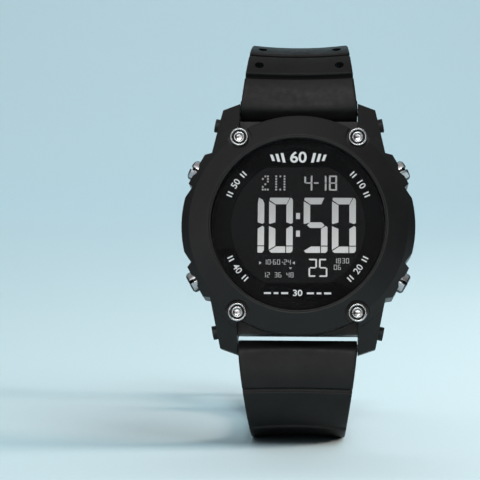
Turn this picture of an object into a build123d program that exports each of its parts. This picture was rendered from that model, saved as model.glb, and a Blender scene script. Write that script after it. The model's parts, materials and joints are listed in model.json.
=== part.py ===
from build123d import *
import os
from math import acos, atan2, cos, degrees, hypot, radians, sin, tan

os.makedirs("parts", exist_ok=True)

# Digital wristwatch with a moulded case, four push buttons and a two-piece resin strap.
# Millimetres. The pieces are drawn in the watch's upright frame: X to the right, Y into the
# watch from the front of the bezel, Z towards 12 o'clock, with the dial's centre at zero.
# At the end the whole watch leans back on the foot of its lower strap.

# Overall sizes and clearances
overrun = 2.0
fit_gap = 0.05
slip_gap = 0.15
lean_angle = 12.0
quarter_turn = 90.0
half_turn = 180.0

# Crystal and bezel
crystal_radius = 18.5
crystal_thickness = 1.8
crystal_front = 0.6
bezel_inner = crystal_radius + slip_gap
bezel_lip_depth = 0.45
bezel_lip_chamfer = 0.3
bezel_rise = 0.7
bezel_slope = 4.25
bezel_shoulder = 2.05
bezel_crest = bezel_inner + bezel_rise
bezel_knee = bezel_crest + bezel_slope
bezel_knee_depth = 1.6
bezel_outer = bezel_knee + bezel_shoulder
bezel_outer_depth = 3.2
bezel_back = 3.4
bezel_lug_edge = bezel_knee + 2 * slip_gap

# Case outline, seen from the front
case_step = 0.4
case_radius = bezel_outer - case_step
bulge_half = 5.95
notch_depth = 2.3
notch_rise = 2.25
notch_x = case_radius - notch_depth
notch_z = bulge_half + notch_rise
button_angle = 28.5
boss_stand = 0.1
boss_face = case_radius + boss_stand
boss_low = 3.3
boss_high = 3.9
waist_x = 18.8
waist_z = 15.8
lug_gap_half = 13.0
lug_width = 3.8
lug_outer_x = lug_gap_half + lug_width
shelf_z = 23.4
lug_shoulder = 2.95
lug_reach = 4.3
lug_outer_z = shelf_z + lug_shoulder
lug_tip_z = shelf_z + lug_reach

# Case body, front to back
case_back_face = 11.8
shelf_step = 2.2
shelf_depth = bezel_back + shelf_step
lug_seam = 0.1
lug_tip_radius = 31.5
lug_tip_depth = 7.4
lug_front = bezel_outer_depth + lug_seam
cavity_radius = 18.8
flange_front = 3.2
flange_back = 3.8
flange_radius = 16.7
back_bevel = 1.2
lug_back_rise = 2.6
outline_reach = 40.0

# Buttons: angles counted from +X towards +Z
button_names = {
    "start": button_angle,
    "light": half_turn - button_angle,
    "mode": half_turn + button_angle,
    "reset": -button_angle,
}
button_depth = 4.95
button_travel = 0.7
head_radius = 2.25
head_length = 2.0
head_stand = 1.3
head_face = boss_face + head_stand
head_chamfer = 0.3
slot_width = 0.6
slot_depth = 0.5
recess_radius = head_radius + slip_gap
recess_depth = 2.8
recess_floor = boss_face - recess_depth
stem_radius = 0.75
leaf_stand = 16.1
stem_end = leaf_stand + button_travel + 4 * fit_gap
sleeve_radius = 1.3
sleeve_bore = stem_radius + fit_gap
sleeve_lip = 0.2
sleeve_inner = cavity_radius - sleeve_lip
seal_wire = 0.18
clip_radius = 1.25
clip_thickness = 0.35
clip_groove = 0.2
relief_radius = clip_radius + slip_gap
spring_radius = 1.7
spring_wire = 0.12
spring_turns = 3.5

# Front screws that hold the bezel
screw_x = 12.83
screw_z = 19.07
screw_head_radius = 2.0
screw_head_top = 0.95
screw_pocket_radius = 2.6
screw_pocket_floor = 2.3
screw_rim = 0.4
screw_ring_depth = 0.25
screw_dome = 1.3
screw_shank_radius = 0.9
screw_end = 8.6
socket_flats = 1.5
socket_depth = 0.7

# Side screws in the lugs
side_screw_z = 22.87
side_screw_depth = 8.0
side_head_radius = 1.5
side_head_stand = 1.05
side_shank_radius = 0.7
side_shank_length = 2.3
lug_side_lean = degrees(atan2(waist_x - lug_outer_x, lug_outer_z - waist_z))

# Strap joint at the lugs
bar_depth = 8.5
bar_z = 26.1
bar_radius = 0.85
bar_tip_radius = 0.55
bar_tip_length = 1.1
upper_knuckle = 2.1
lower_knuckle = 1.6
bar_bore = bar_radius + fit_gap
heel_z = 26.5
heel_blend = 19.0

# Strap: one long half with holes, one short half with the buckle
strap_face = 5.1
strap_thickness = 3.0
strap_half_width = lug_gap_half - slip_gap
strap_bend = 16.0
upper_shoulder = 1.8
upper_half_top = 10.75
upper_run = 12.0
upper_sweep = 33.0
upper_tail = 20.0
tail_half_width = 10.0
tail_taper_run = 24.0
tail_corner = 6.0
lower_shoulder = 2.5
foot_length = 16.0
lift_radius = 36.0
lift_angle = 18.0
lower_run = 16.0
trough_half = 8.2
trough_depth = 0.6
trough_curve = (trough_half**2 + trough_depth**2) / (2 * trough_depth)
groove_width = 1.0
groove_depth = 0.45
hole_radius = 1.15
hole_edge = 2.75
upper_groove_start = 7.7
lower_groove_start = 9.2
strap_pitch = 7.1
lower_groove_pitch = 10.9
upper_groove_count = 13
hole_row_start = 10.9
hole_row_count = 14
lower_groove_count = 2

# Strap keeper and buckle
keeper_length = 5.0
keeper_wall = 1.4
keeper_play = 0.2
keeper_slack = 3.3
keeper_share = 0.5
buckle_bar_radius = 0.75
buckle_knuckle = strap_thickness / 2
buckle_tab_half = 5.6
tab_clearance = 2.8
frame_half_width = 12.3
frame_side = 1.7
frame_thickness = 2.6
frame_end = 14.5
frame_end_bar = 2.5
frame_ear = 1.6
frame_corner = 2.4
prong_x = 7.3
prong_width = 1.6
prong_loop = 1.55
prong_low = 0.55
prong_tip = 13.6
prong_bridge_start = 3.3
prong_bridge_width = 1.9
prong_notch = 0.9

# Display stack, front to back
mask_thickness = 0.25
mask_inset = 0.1
mask_radius = crystal_radius - mask_inset
mask_front = crystal_front + crystal_thickness
gasket_front = mask_front + mask_thickness
window_radius = 14.5
window_top = 12.8
window_bottom = -12.65
window_corner = 3.6
digit_thickness = 0.08
polariser_front = gasket_front + 2 * fit_gap
polariser_thickness = 0.2
polariser_radius = 15.4
polariser_half = 13.2
lcd_thickness = 1.1
lcd_radius = 15.6
lcd_half = 13.6
reflector_thickness = 0.2
guide_thickness = 0.8
guide_half_x = 10.0
guide_half_z = 10.3
lcd_front = polariser_front + polariser_thickness
reflector_front = lcd_front + lcd_thickness
guide_front = reflector_front + reflector_thickness

# LCD characters
stroke = 1.37
segment_gap = 0.16
digit_width = 5.13
digit_height = 12.0
digit_left = {"tens": -12.43, "hours": -6.25, "ten_minutes": 1.24, "minutes": 7.33}
digit_base = -6.05
colon_left = -0.41
colon_width = 0.84
colon_height = 1.32
colon_bases = (1.3, -2.55)
small_stroke = 0.4
small_gap = 0.06
date_height = 3.3
date_base = 7.55
date_width = 1.75
date_left = {"month": 1.33, "dash": 3.3, "ten_days": 4.38, "days": 6.65}
dash_width = 1.2
seconds_height = 3.9
seconds_base = -11.25
seconds_width = 1.8
seconds_left = (2.33, 4.57)

# Module behind the display
module_radius = 16.3
module_wall = 0.6
module_front = 3.0
module_back = 10.2
web_inner = 15.0
board_front = 6.2
board_thickness = 0.8
board_radius = 15.6
board_back = board_front + board_thickness
zebra_width = 1.6
zebra_length = 14.0
zebra_z = 12.4
boss_ring = 13.9
boss_radius = 1.3
module_screw_head = 1.0
module_screw_shank = 0.5
module_screw_height = 0.5
chip_radius = 3.2
chip_height = 0.8
chip_x = -4.0
quartz_radius = 1.0
quartz_length = 6.2
quartz_z = 10.6
led_size = 1.2
battery_radius = 10.0
battery_thickness = 2.5
battery_z = -3.5
battery_rim = 1.1
battery_front = board_back + fit_gap
clip_strip = 4.0
clip_sheet = 0.3
clip_reach = 13.4
contact_width = 4.0
contact_sheet = 0.3
contact_height = 2.0
leaf_height = 1.6
leaf_width = 2.0
leaf_sheet = 0.15
leaf_foot = 14.6
cover_thickness = 0.5
buzzer_x = -9.6
buzzer_z = 9.3
buzzer_radius = 0.75
buzzer_wire = 0.12
buzzer_turns = 5.0
piezo_radius = 9.0
piezo_offset_z = 2.0
piezo_thickness = 0.25

# Case back
back_radius = 21.8
back_thickness = 1.6
spigot_radius = cavity_radius - 2 * slip_gap
spigot_depth = 0.55
back_screw_ring = 20.3
back_screw_head = 1.1
back_screw_shank = 0.6
back_screw_length = 3.2
back_screw_sink = 0.6
back_gasket_inner = 18.75
back_gasket_outer = 19.35
back_gasket_height = 0.3
back_step_radius = 17.0
back_step = 0.25
back_edge_chamfer = 0.5

pieces = {}


def keep(piece, name):
    """Label a finished sub-part and hold it for placing and export."""
    piece.label = name
    pieces[name] = piece


def face_plane(depth):
    """Plane parallel to the dial at a depth; amounts below zero go into the watch."""
    return Plane.XZ.offset(-depth)


def radial_plane(angle, reach, depth=button_depth):
    """Plane square to a button's axis, at a distance from the dial's centre."""
    axis = Vector(cos(radians(angle)), 0, sin(radians(angle)))
    return Plane(origin=axis * reach + Vector(0, depth, 0), x_dir=(0, 1, 0), z_dir=axis)


def four_corners(x, z):
    """The four places mirrored left to right and top to bottom."""
    return [(x, z), (-x, z), (-x, -z), (x, -z)]


def outline_points():
    """Corners of the case outline, once round, without the arcs of the side bulges."""
    axis = (cos(radians(button_angle)), sin(radians(button_angle)))
    side = (-axis[1], axis[0])
    bulge_x = (case_radius**2 - bulge_half**2) ** 0.5
    corner = [
        (bulge_x, bulge_half),
        (notch_x, notch_z),
        (boss_face * axis[0] - boss_low * side[0], boss_face * axis[1] - boss_low * side[1]),
        (boss_face * axis[0] + boss_high * side[0], boss_face * axis[1] + boss_high * side[1]),
        (waist_x, waist_z),
        (lug_outer_x, lug_outer_z),
        (lug_gap_half, lug_tip_z),
        (lug_gap_half, shelf_z),
    ]
    right = [(x, -z) for x, z in reversed(corner)] + corner
    return right + [(-x, z) for x, z in reversed(right)]


def case_outline(depth):
    """The case outline as a face at a depth."""
    with BuildSketch(face_plane(depth)) as outline:
        Circle(case_radius)
        Rectangle(2 * case_radius, 2 * bulge_half, mode=Mode.INTERSECT)
        Polygon(*outline_points(), align=None)
    return outline.sketch


def window_outline(depth, radius, top, bottom, corner):
    """A round window cut flat at its top and bottom."""
    with BuildSketch(face_plane(depth)) as outline:
        Circle(radius)
        with Locations((0, (top + bottom) / 2)):
            Rectangle(2 * radius, top - bottom, mode=Mode.INTERSECT)
        fillet(outline.vertices(), radius=corner)
    return outline.sketch


def mirrored_polygon(points):
    """Draw a polygon and its mirror image across the watch's middle as one outline."""
    Polygon(*points, *[(-x, y) for x, y in reversed(points)], align=None)


def side_screw_planes():
    """Planes on the lugs' outer sides, facing out, where the side screws sit."""
    lean = radians(lug_side_lean)
    x = lug_outer_x + (lug_outer_z - side_screw_z) * tan(lean)
    planes = []
    for right, top in ((1, 1), (-1, 1), (-1, -1), (1, -1)):
        origin = (right * x, side_screw_depth, top * side_screw_z)
        planes.append(Plane(origin, x_dir=(0, 1, 0), z_dir=(right * cos(lean), 0, top * sin(lean))))
    return planes


def front_screw():
    """One bezel screw on the Y axis."""
    ring_outer = screw_head_radius - screw_rim
    with BuildPart() as screw:
        with BuildSketch(Plane.XY):
            Polygon(
                (0, screw_head_top),
                (screw_dome, screw_head_top),
                (screw_dome, screw_head_top + screw_ring_depth),
                (ring_outer, screw_head_top + screw_ring_depth),
                (ring_outer, screw_head_top),
                (screw_head_radius - slip_gap, screw_head_top),
                (screw_head_radius, screw_head_top + slip_gap),
                (screw_head_radius, screw_pocket_floor),
                (screw_shank_radius, screw_pocket_floor),
                (screw_shank_radius, screw_end),
                (0, screw_end),
                align=None,
            )
        revolve(axis=Axis.Y)
        with BuildSketch(face_plane(screw_head_top)):
            RegularPolygon(radius=socket_flats / 2, side_count=6, major_radius=False)
        extrude(amount=-socket_depth, mode=Mode.SUBTRACT)
    return screw.part


def coil_spring(length, radius, wire, turns):
    """A coil on the Z axis between zero and its length, clear of both ends by a fit gap."""
    start = wire + fit_gap
    rise = length - 2 * start
    with BuildPart() as coil:
        with BuildLine() as turn_line:
            Helix(pitch=rise / turns, height=rise, radius=radius, center=(0, 0, start))
        with BuildSketch(Plane(turn_line.line @ 0, z_dir=turn_line.line % 0)):
            Circle(wire)
        sweep(path=turn_line.line, is_frenet=True)
    return coil.part


# Which of the seven segments each character lights, named clockwise from the top, then the bar
lit_segments = {
    "0": "abcdef", "1": "bc", "2": "abdeg", "4": "bcfg", "5": "acdfg", "8": "abcdefg", "-": "g",
}


def segment_points(segment, width, height, bar, gap):
    """Corners of one segment of a digit whose lower left corner is at zero."""
    half = height / 2
    top = [
        (gap, height),
        (width - gap, height),
        (width - bar - gap / 2, height - bar),
        (bar + gap, height - bar),
    ]
    upper_left = [
        (0, height - gap),
        (bar, height - bar - gap),
        (bar, half + bar / 2 + gap / 2),
        (bar / 3, half + gap / 2),
        (0, half + gap),
    ]
    middle = [
        (bar / 2, half),
        (bar, half + (bar - gap) / 2),
        (width - bar, half + (bar - gap) / 2),
        (width - bar / 2, half),
        (width - bar, half - (bar - gap) / 2),
        (bar, half - (bar - gap) / 2),
    ]
    if segment == "g":
        return middle
    points = top if segment in "ad" else upper_left
    if segment in "cde":
        points = [(x, height - y) for x, y in points]
    if segment in "bc":
        points = [(width - x, y) for x, y in points]
    return points


def character_plate(characters, width=digit_width, height=digit_height, bar=stroke,
                    gap=segment_gap):
    """Thin lit segments in front of the polariser; characters are (name, left, base)."""
    with BuildPart() as plate:
        with BuildSketch(face_plane(polariser_front - digit_thickness)):
            for character, left, base in characters:
                span = dash_width if character == "-" else width
                for segment in lit_segments[character]:
                    with Locations((left, base)):
                        Polygon(*segment_points(segment, span, height, bar, gap), align=None)
        extrude(amount=-digit_thickness)
    return plate.part


def piezo_front():
    """Depth of the piezo disc's front, with its back on the case back."""
    return case_back_face - spigot_depth - piezo_thickness


def seal_station():
    """Distance of a stem seal from the dial's centre, half way along its sleeve."""
    return (sleeve_inner + recess_floor) / 2


def upper_top_z():
    """Height at which the long strap has turned level."""
    return heel_z + upper_shoulder + strap_bend


def lower_bottom_z():
    """Height at which the short strap has turned level."""
    return -(heel_z + lower_shoulder + strap_bend)


def draw_upper_run():
    """Outer line of the long strap, from the lug to its tip, in depth and height."""
    shoulder = Line((strap_face, heel_z), (strap_face, heel_z + upper_shoulder))
    bend = JernArc(shoulder @ 1, shoulder % 1, radius=strap_bend, arc_size=-quarter_turn)
    level = Line(bend @ 1, bend @ 1 + (bend % 1) * upper_run)
    fall = JernArc(level @ 1, level % 1, radius=upper_sweep, arc_size=-quarter_turn)
    Line(fall @ 1, fall @ 1 + (fall % 1) * upper_tail)


def draw_lower_run():
    """Outer line of the short strap, with the straight foot that the watch stands on."""
    shoulder = Line((strap_face, -heel_z), (strap_face, -heel_z - lower_shoulder))
    bend = JernArc(shoulder @ 1, shoulder % 1, radius=strap_bend,
                   arc_size=quarter_turn + lean_angle)
    foot = Line(bend @ 1, bend @ 1 + (bend % 1) * foot_length)
    lift = JernArc(foot @ 1, foot % 1, radius=lift_radius, arc_size=lift_angle)
    Line(lift @ 1, lift @ 1 + (lift % 1) * lower_run)


def heel_points(end, shoulder, knuckle):
    """Corners of the thick heel between the strap's knuckle and its bend."""
    inner_radius = strap_bend - strap_thickness + slip_gap
    blend = radians(heel_blend)
    slope = atan2(heel_z - bar_z, strap_face - bar_depth)
    tangent = slope + acos(knuckle / hypot(heel_z - bar_z, strap_face - bar_depth))
    bend_z = heel_z + shoulder
    return [
        (strap_face, end * heel_z),
        (strap_face, end * bend_z),
        (strap_face + strap_bend - inner_radius * cos(blend),
         end * (bend_z + inner_radius * sin(blend))),
        (bar_depth + knuckle, end * bar_z),
        (bar_depth, end * bar_z),
        (bar_depth + knuckle * cos(tangent), end * (bar_z + knuckle * sin(tangent))),
    ]


def strap_plane(line, station, x=0.0):
    """Plane on the strap's outer face at a distance along it."""
    point = line.position_at(station, position_mode=PositionMode.LENGTH)
    along = line.tangent_at(station, position_mode=PositionMode.LENGTH)
    return Plane(point + Vector(x, 0, 0), x_dir=(1, 0, 0), z_dir=Vector(1, 0, 0).cross(along))


def cross_grooves(line, end, start, pitch, count):
    """Cutters for the grooves across the strap's outer face, which follow its trough."""
    with BuildPart() as cutters:
        for index in range(count):
            station = start + index * pitch
            point = line.position_at(station, position_mode=PositionMode.LENGTH)
            along = line.tangent_at(station, position_mode=PositionMode.LENGTH)
            with BuildSketch(Plane(point, x_dir=(1, 0, 0), z_dir=along)):
                Rectangle(2 * trough_half, 2 * overrun)
                with Locations((0, end * (trough_depth + groove_depth - trough_curve))):
                    Circle(trough_curve, mode=Mode.INTERSECT)
                Rectangle(2 * strap_half_width + overrun, 2 * groove_depth)
            extrude(amount=groove_width / 2, both=True)
    return cutters.part


def trough(line, end):
    """The shallow round channel along the strap's outer face."""
    with BuildPart() as channel:
        with BuildSketch(Plane(line @ 0, x_dir=(1, 0, 0), z_dir=line % 0)) as lens:
            Rectangle(2 * trough_half, 2 * overrun)
            with Locations((0, end * (trough_depth - trough_curve))):
                Circle(trough_curve, mode=Mode.INTERSECT)
        sweep(sections=lens.sketch, path=line)
        extrude(lens.sketch, amount=-2 * overrun)
    return channel.part


def upper_half_width(point):
    """Half the long strap's width at a point of its outer line."""
    bend_end = strap_face + strap_bend
    if point.Y < bend_end:
        share = (point.Z - heel_z) / (upper_top_z() - heel_z)
        return strap_half_width + (upper_half_top - strap_half_width) * share
    share = min(1, (point.Y - bend_end) / tail_taper_run)
    return upper_half_top + (tail_half_width - upper_half_top) * share


def hole_offset(station):
    """Distance of a hole from the strap's middle, so that its edge distance stays the same."""
    point = upper_line.position_at(station, position_mode=PositionMode.LENGTH)
    return upper_half_width(point) - hole_edge


def strap_end():
    """Middle of the short strap's end, where the buckle bar runs, and its direction."""
    along = lower_line % 1
    inward = Vector(1, 0, 0).cross(along)
    return lower_line @ 1 + inward * (strap_thickness / 2), along, inward


def buckle_pivot():
    """The buckle bar's place in depth and height."""
    pivot = strap_end()[0]
    return (pivot.Y, pivot.Z)


def buckle_plane(raise_by=0.0):
    """Plane through the buckle bar: X across, Y on along the strap, normal to the wrist."""
    pivot, along, inward = strap_end()
    return Plane(pivot + inward * raise_by, x_dir=(1, 0, 0), z_dir=inward)


def buckle_side(x=0.0):
    """Plane square to the buckle bar: X on along the strap, Y to the wrist."""
    pivot, along, inward = strap_end()
    return Plane(pivot + Vector(x, 0, 0), x_dir=along, z_dir=(1, 0, 0))


def keeper_plane():
    """Plane across the strap at the keeper, with Y to the wrist."""
    pivot, along, inward = strap_end()
    middle = pivot - along * (lower_run * (1 - keeper_share))
    return Plane(middle, x_dir=(-1, 0, 0), z_dir=along)


# Bezel: a turned ring cut to the case outline, with pockets for its four screws
with BuildPart() as bezel:
    with BuildSketch(Plane.XY):
        Polygon(
            (bezel_inner, bezel_lip_depth),
            (bezel_inner + bezel_lip_chamfer, bezel_lip_depth / 4),
            (bezel_crest, 0),
            (bezel_knee, bezel_knee_depth),
            (bezel_outer, bezel_outer_depth),
            (bezel_outer, bezel_back),
            (bezel_inner, bezel_back),
            align=None,
        )
    revolve(axis=Axis.Y)
    with BuildSketch(face_plane(0)):
        add(case_outline(0))
        Rectangle(2 * lug_gap_half, 2 * lug_tip_z, mode=Mode.SUBTRACT)
        Circle(bezel_lug_edge)
    extrude(amount=-bezel_back, mode=Mode.INTERSECT)
    with BuildSketch(face_plane(0)):
        with Locations(*four_corners(screw_x, screw_z)):
            Circle(screw_pocket_radius)
    extrude(amount=-screw_pocket_floor, mode=Mode.SUBTRACT)
    with BuildSketch(face_plane(0)):
        with Locations(*four_corners(screw_x, screw_z)):
            Circle(screw_shank_radius + fit_gap)
    extrude(amount=-bezel_back, mode=Mode.SUBTRACT)
    for angle in button_names.values():
        with BuildSketch(radial_plane(angle, recess_floor)):
            Circle(recess_radius)
        extrude(amount=boss_face, mode=Mode.SUBTRACT)
keep(bezel.part, "bezel")

# Case body: lugs, shelves, button bosses and the round cavity for the module
with BuildPart() as case_body:
    extrude(case_outline(lug_front), amount=lug_front - case_back_face)
    with BuildSketch(Plane.XY):
        Polygon(
            (0, 0),
            (0, bezel_back),
            (bezel_outer + lug_seam, bezel_back),
            (bezel_outer + lug_seam, lug_front),
            (lug_tip_radius, lug_tip_depth),
            (outline_reach, lug_tip_depth + outline_reach - lug_tip_radius),
            (outline_reach, 0),
            align=None,
        )
    revolve(axis=Axis.Y, mode=Mode.SUBTRACT)
    for side in (1, -1):
        with BuildSketch(Plane.XY):
            Polygon(
                (side * (case_radius - back_bevel), case_back_face),
                (side * (case_radius + overrun), case_back_face),
                (side * (case_radius + overrun), case_back_face - back_bevel - overrun),
                align=None,
            )
        extrude(amount=waist_z, both=True, mode=Mode.SUBTRACT)
        with BuildSketch(Plane.YZ):
            Polygon(
                (case_back_face, side * shelf_z),
                (case_back_face, side * (lug_tip_z + overrun)),
                (case_back_face - lug_back_rise, side * (lug_tip_z + overrun)),
                align=None,
            )
        extrude(amount=lug_outer_x + overrun, both=True, mode=Mode.SUBTRACT)
    with BuildSketch(face_plane(0)):
        Rectangle(2 * lug_gap_half, 2 * lug_tip_z)
        Circle(bezel_lug_edge + fit_gap, mode=Mode.SUBTRACT)
    extrude(amount=-shelf_depth, mode=Mode.SUBTRACT)
    with BuildSketch(face_plane(0)):
        Circle(flange_radius)
    extrude(amount=-case_back_face, mode=Mode.SUBTRACT)
    with BuildSketch(face_plane(flange_back)):
        Circle(cavity_radius)
    extrude(amount=flange_back - case_back_face, mode=Mode.SUBTRACT)
    with BuildSketch(face_plane(0)):
        Circle(cavity_radius)
    extrude(amount=-flange_front, mode=Mode.SUBTRACT)
    for angle in button_names.values():
        with BuildSketch(radial_plane(angle, recess_floor)):
            Circle(recess_radius)
        extrude(amount=boss_face, mode=Mode.SUBTRACT)
        with BuildSketch(radial_plane(angle, cavity_radius - overrun)):
            Circle(relief_radius)
        extrude(amount=overrun + fit_gap, mode=Mode.SUBTRACT)
        with BuildSketch(radial_plane(angle, sleeve_inner)):
            Circle(sleeve_radius + fit_gap)
        extrude(amount=recess_floor, mode=Mode.SUBTRACT)
    with BuildSketch(face_plane(bezel_back)):
        with Locations(*four_corners(screw_x, screw_z)):
            Circle(screw_shank_radius + fit_gap)
    extrude(amount=bezel_back - screw_end - fit_gap, mode=Mode.SUBTRACT)
    for side in (1, -1):
        for end in (1, -1):
            with BuildSketch(Plane.YZ.offset(side * (lug_gap_half - overrun))):
                with Locations((bar_depth, end * bar_z)):
                    Circle(bar_tip_radius + fit_gap)
            extrude(amount=side * (overrun + bar_tip_length + fit_gap), mode=Mode.SUBTRACT)
    with BuildSketch(face_plane(case_back_face)):
        with PolarLocations(back_screw_ring, 4, start_angle=quarter_turn / 2):
            Circle(back_screw_shank + fit_gap)
    extrude(amount=back_screw_length, mode=Mode.SUBTRACT)
    with BuildSketch(face_plane(case_back_face)):
        Circle(back_gasket_outer + fit_gap)
        Circle(back_gasket_inner - fit_gap, mode=Mode.SUBTRACT)
    extrude(amount=back_gasket_height + fit_gap, mode=Mode.SUBTRACT)
    for plane in side_screw_planes():
        with BuildSketch(plane):
            Circle(side_shank_radius + fit_gap)
        extrude(amount=-side_shank_length - fit_gap, mode=Mode.SUBTRACT)
keep(case_body.part, "case_body")

# Front screws: a rim and a dome with a ring between them, and a hexagon socket
with BuildPart() as bezel_screws:
    with Locations(*[(x, 0, z) for x, z in four_corners(screw_x, screw_z)]):
        add(front_screw())
keep(bezel_screws.part, "bezel_screws")

# Side screws: slotted heads that stand out of the lugs
with BuildPart() as side_screws:
    for plane in side_screw_planes():
        with BuildSketch(plane):
            Circle(side_head_radius)
        extrude(amount=side_head_stand)
        with BuildSketch(plane):
            Circle(side_shank_radius)
        extrude(amount=-side_shank_length)
        with BuildSketch(plane.offset(side_head_stand - slot_depth)):
            Rectangle(slot_width, 2 * side_head_radius + overrun)
        extrude(amount=slot_depth + fit_gap, mode=Mode.SUBTRACT)
keep(side_screws.part, "side_screws")

# Crystal, its gasket and the printed mask behind it
with BuildPart() as crystal:
    with BuildSketch(face_plane(crystal_front)):
        Circle(crystal_radius)
    extrude(amount=-crystal_thickness)
    front_edge = crystal.edges().filter_by(GeomType.CIRCLE).sort_by(Axis.Y)[0]
    chamfer(front_edge, length=slip_gap)
keep(crystal.part, "crystal")

with BuildPart() as dial_mask:
    with BuildSketch(face_plane(mask_front)):
        Circle(mask_radius)
        add(window_outline(0, window_radius, window_top, window_bottom, window_corner),
            mode=Mode.SUBTRACT)
    extrude(amount=-mask_thickness)
keep(dial_mask.part, "dial_mask")

with BuildPart() as crystal_gasket:
    with BuildSketch(face_plane(gasket_front)):
        Circle(mask_radius)
        Circle(flange_radius + slip_gap, mode=Mode.SUBTRACT)
    extrude(amount=gasket_front - flange_front)
keep(crystal_gasket.part, "crystal_gasket")

# LCD: polariser, glass cell, reflector and light guide, with the zebra strips behind it
with BuildPart() as lcd_polariser:
    extrude(
        window_outline(polariser_front, polariser_radius, polariser_half, -polariser_half,
                       window_corner),
        amount=-polariser_thickness,
    )
keep(lcd_polariser.part, "lcd_polariser")

with BuildPart() as lcd_glass:
    extrude(
        window_outline(lcd_front, lcd_radius, lcd_half, -lcd_half, window_corner),
        amount=-lcd_thickness,
    )
keep(lcd_glass.part, "lcd_glass")

with BuildPart() as lcd_reflector:
    with BuildSketch(face_plane(reflector_front)):
        Rectangle(2 * guide_half_x, 2 * guide_half_z)
    extrude(amount=-reflector_thickness)
keep(lcd_reflector.part, "lcd_reflector")

with BuildPart() as light_guide:
    with BuildSketch(face_plane(guide_front)):
        Rectangle(2 * guide_half_x, 2 * guide_half_z)
        with Locations((guide_half_x - led_size, guide_half_z - led_size)):
            Rectangle(2 * led_size + 2 * fit_gap, 2 * led_size + 2 * fit_gap, mode=Mode.SUBTRACT)
    extrude(amount=-guide_thickness)
keep(light_guide.part, "light_guide")

with BuildPart() as backlight_led:
    with BuildSketch(face_plane(guide_front)):
        with Locations((guide_half_x - led_size, guide_half_z - led_size)):
            Rectangle(2 * led_size, 2 * led_size)
    extrude(amount=guide_front - board_front)
keep(backlight_led.part, "backlight_led")

with BuildPart() as zebra_strips:
    with BuildSketch(face_plane(reflector_front)):
        with Locations((0, zebra_z), (0, -zebra_z)):
            Rectangle(zebra_length, zebra_width)
    extrude(amount=reflector_front - board_front)
keep(zebra_strips.part, "zebra_strips")

# Characters of the display: seven-segment digits, the colon and the small date and seconds
hour_digits = character_plate([
    ("1", digit_left["tens"], digit_base), ("0", digit_left["hours"], digit_base)])
keep(hour_digits, "hour_digits")
minute_digits = character_plate([
    ("5", digit_left["ten_minutes"], digit_base), ("0", digit_left["minutes"], digit_base)])
keep(minute_digits, "minute_digits")

with BuildPart() as lcd_colon:
    with BuildSketch(face_plane(polariser_front - digit_thickness)):
        for base in colon_bases:
            with Locations((colon_left + colon_width / 2, base + colon_height / 2)):
                Rectangle(colon_width, colon_height)
    extrude(amount=-digit_thickness)
keep(lcd_colon.part, "lcd_colon")

date_digits = character_plate(
    [("4", date_left["month"], date_base), ("-", date_left["dash"], date_base),
     ("1", date_left["ten_days"], date_base), ("8", date_left["days"], date_base)],
    date_width, date_height, small_stroke, small_gap)
keep(date_digits, "date_digits")
seconds_digits = character_plate(
    [("2", seconds_left[0], seconds_base), ("5", seconds_left[1], seconds_base)],
    seconds_width, seconds_height, small_stroke, small_gap)
keep(seconds_digits, "seconds_digits")

# Module frame: a cup that holds the display in front and the circuit board behind
with BuildPart() as module_frame:
    with BuildSketch(face_plane(module_front)):
        Circle(module_radius)
        Circle(module_radius - module_wall, mode=Mode.SUBTRACT)
    extrude(amount=module_front - module_back)
    with BuildSketch(face_plane(reflector_front)):
        Circle(module_radius - module_wall / 2)
        Circle(web_inner, mode=Mode.SUBTRACT)
    extrude(amount=reflector_front - board_front)
    with BuildSketch(face_plane(guide_front)):
        with Locations((boss_ring, 0), (-boss_ring, 0)):
            Circle(boss_radius)
            Circle(module_screw_shank + fit_gap, mode=Mode.SUBTRACT)
    extrude(amount=guide_front - board_front)
    for angle in button_names.values():
        with BuildSketch(radial_plane(angle, leaf_foot)):
            Circle(relief_radius)
        extrude(amount=module_radius, mode=Mode.SUBTRACT)
keep(module_frame.part, "module_frame")

# Circuit board with its chip, quartz crystal, battery and contacts
with BuildPart() as circuit_board:
    with BuildSketch(face_plane(board_front)):
        Circle(board_radius)
        with Locations((boss_ring, 0), (-boss_ring, 0)):
            Circle(module_screw_shank + fit_gap, mode=Mode.SUBTRACT)
    extrude(amount=-board_thickness)
keep(circuit_board.part, "circuit_board")

with BuildPart() as chip_cover:
    with BuildSketch(face_plane(board_front)):
        with Locations((chip_x, 0)):
            Circle(chip_radius)
    extrude(amount=chip_height, taper=quarter_turn / 3)
keep(chip_cover.part, "chip_cover")

with BuildPart() as quartz_crystal:
    with BuildSketch(Plane.YZ):
        with Locations((board_back + quartz_radius, quartz_z)):
            Circle(quartz_radius)
    extrude(amount=quartz_length / 2, both=True)
keep(quartz_crystal.part, "quartz_crystal")

with BuildPart() as module_screws:
    with BuildSketch(face_plane(board_back)):
        with Locations((boss_ring, 0), (-boss_ring, 0)):
            Circle(module_screw_head)
    extrude(amount=-module_screw_height)
    with BuildSketch(face_plane(board_back)):
        with Locations((boss_ring, 0), (-boss_ring, 0)):
            Circle(module_screw_shank)
    extrude(amount=board_back - guide_front)
keep(module_screws.part, "module_screws")

with BuildPart() as battery:
    with BuildSketch(face_plane(battery_front)):
        with Locations((0, battery_z)):
            Circle(battery_radius - battery_rim)
    extrude(amount=-battery_thickness)
    with BuildSketch(face_plane(battery_front + clip_sheet)):
        with Locations((0, battery_z)):
            Circle(battery_radius)
    extrude(amount=clip_sheet - battery_thickness)
keep(battery.part, "battery")

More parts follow.
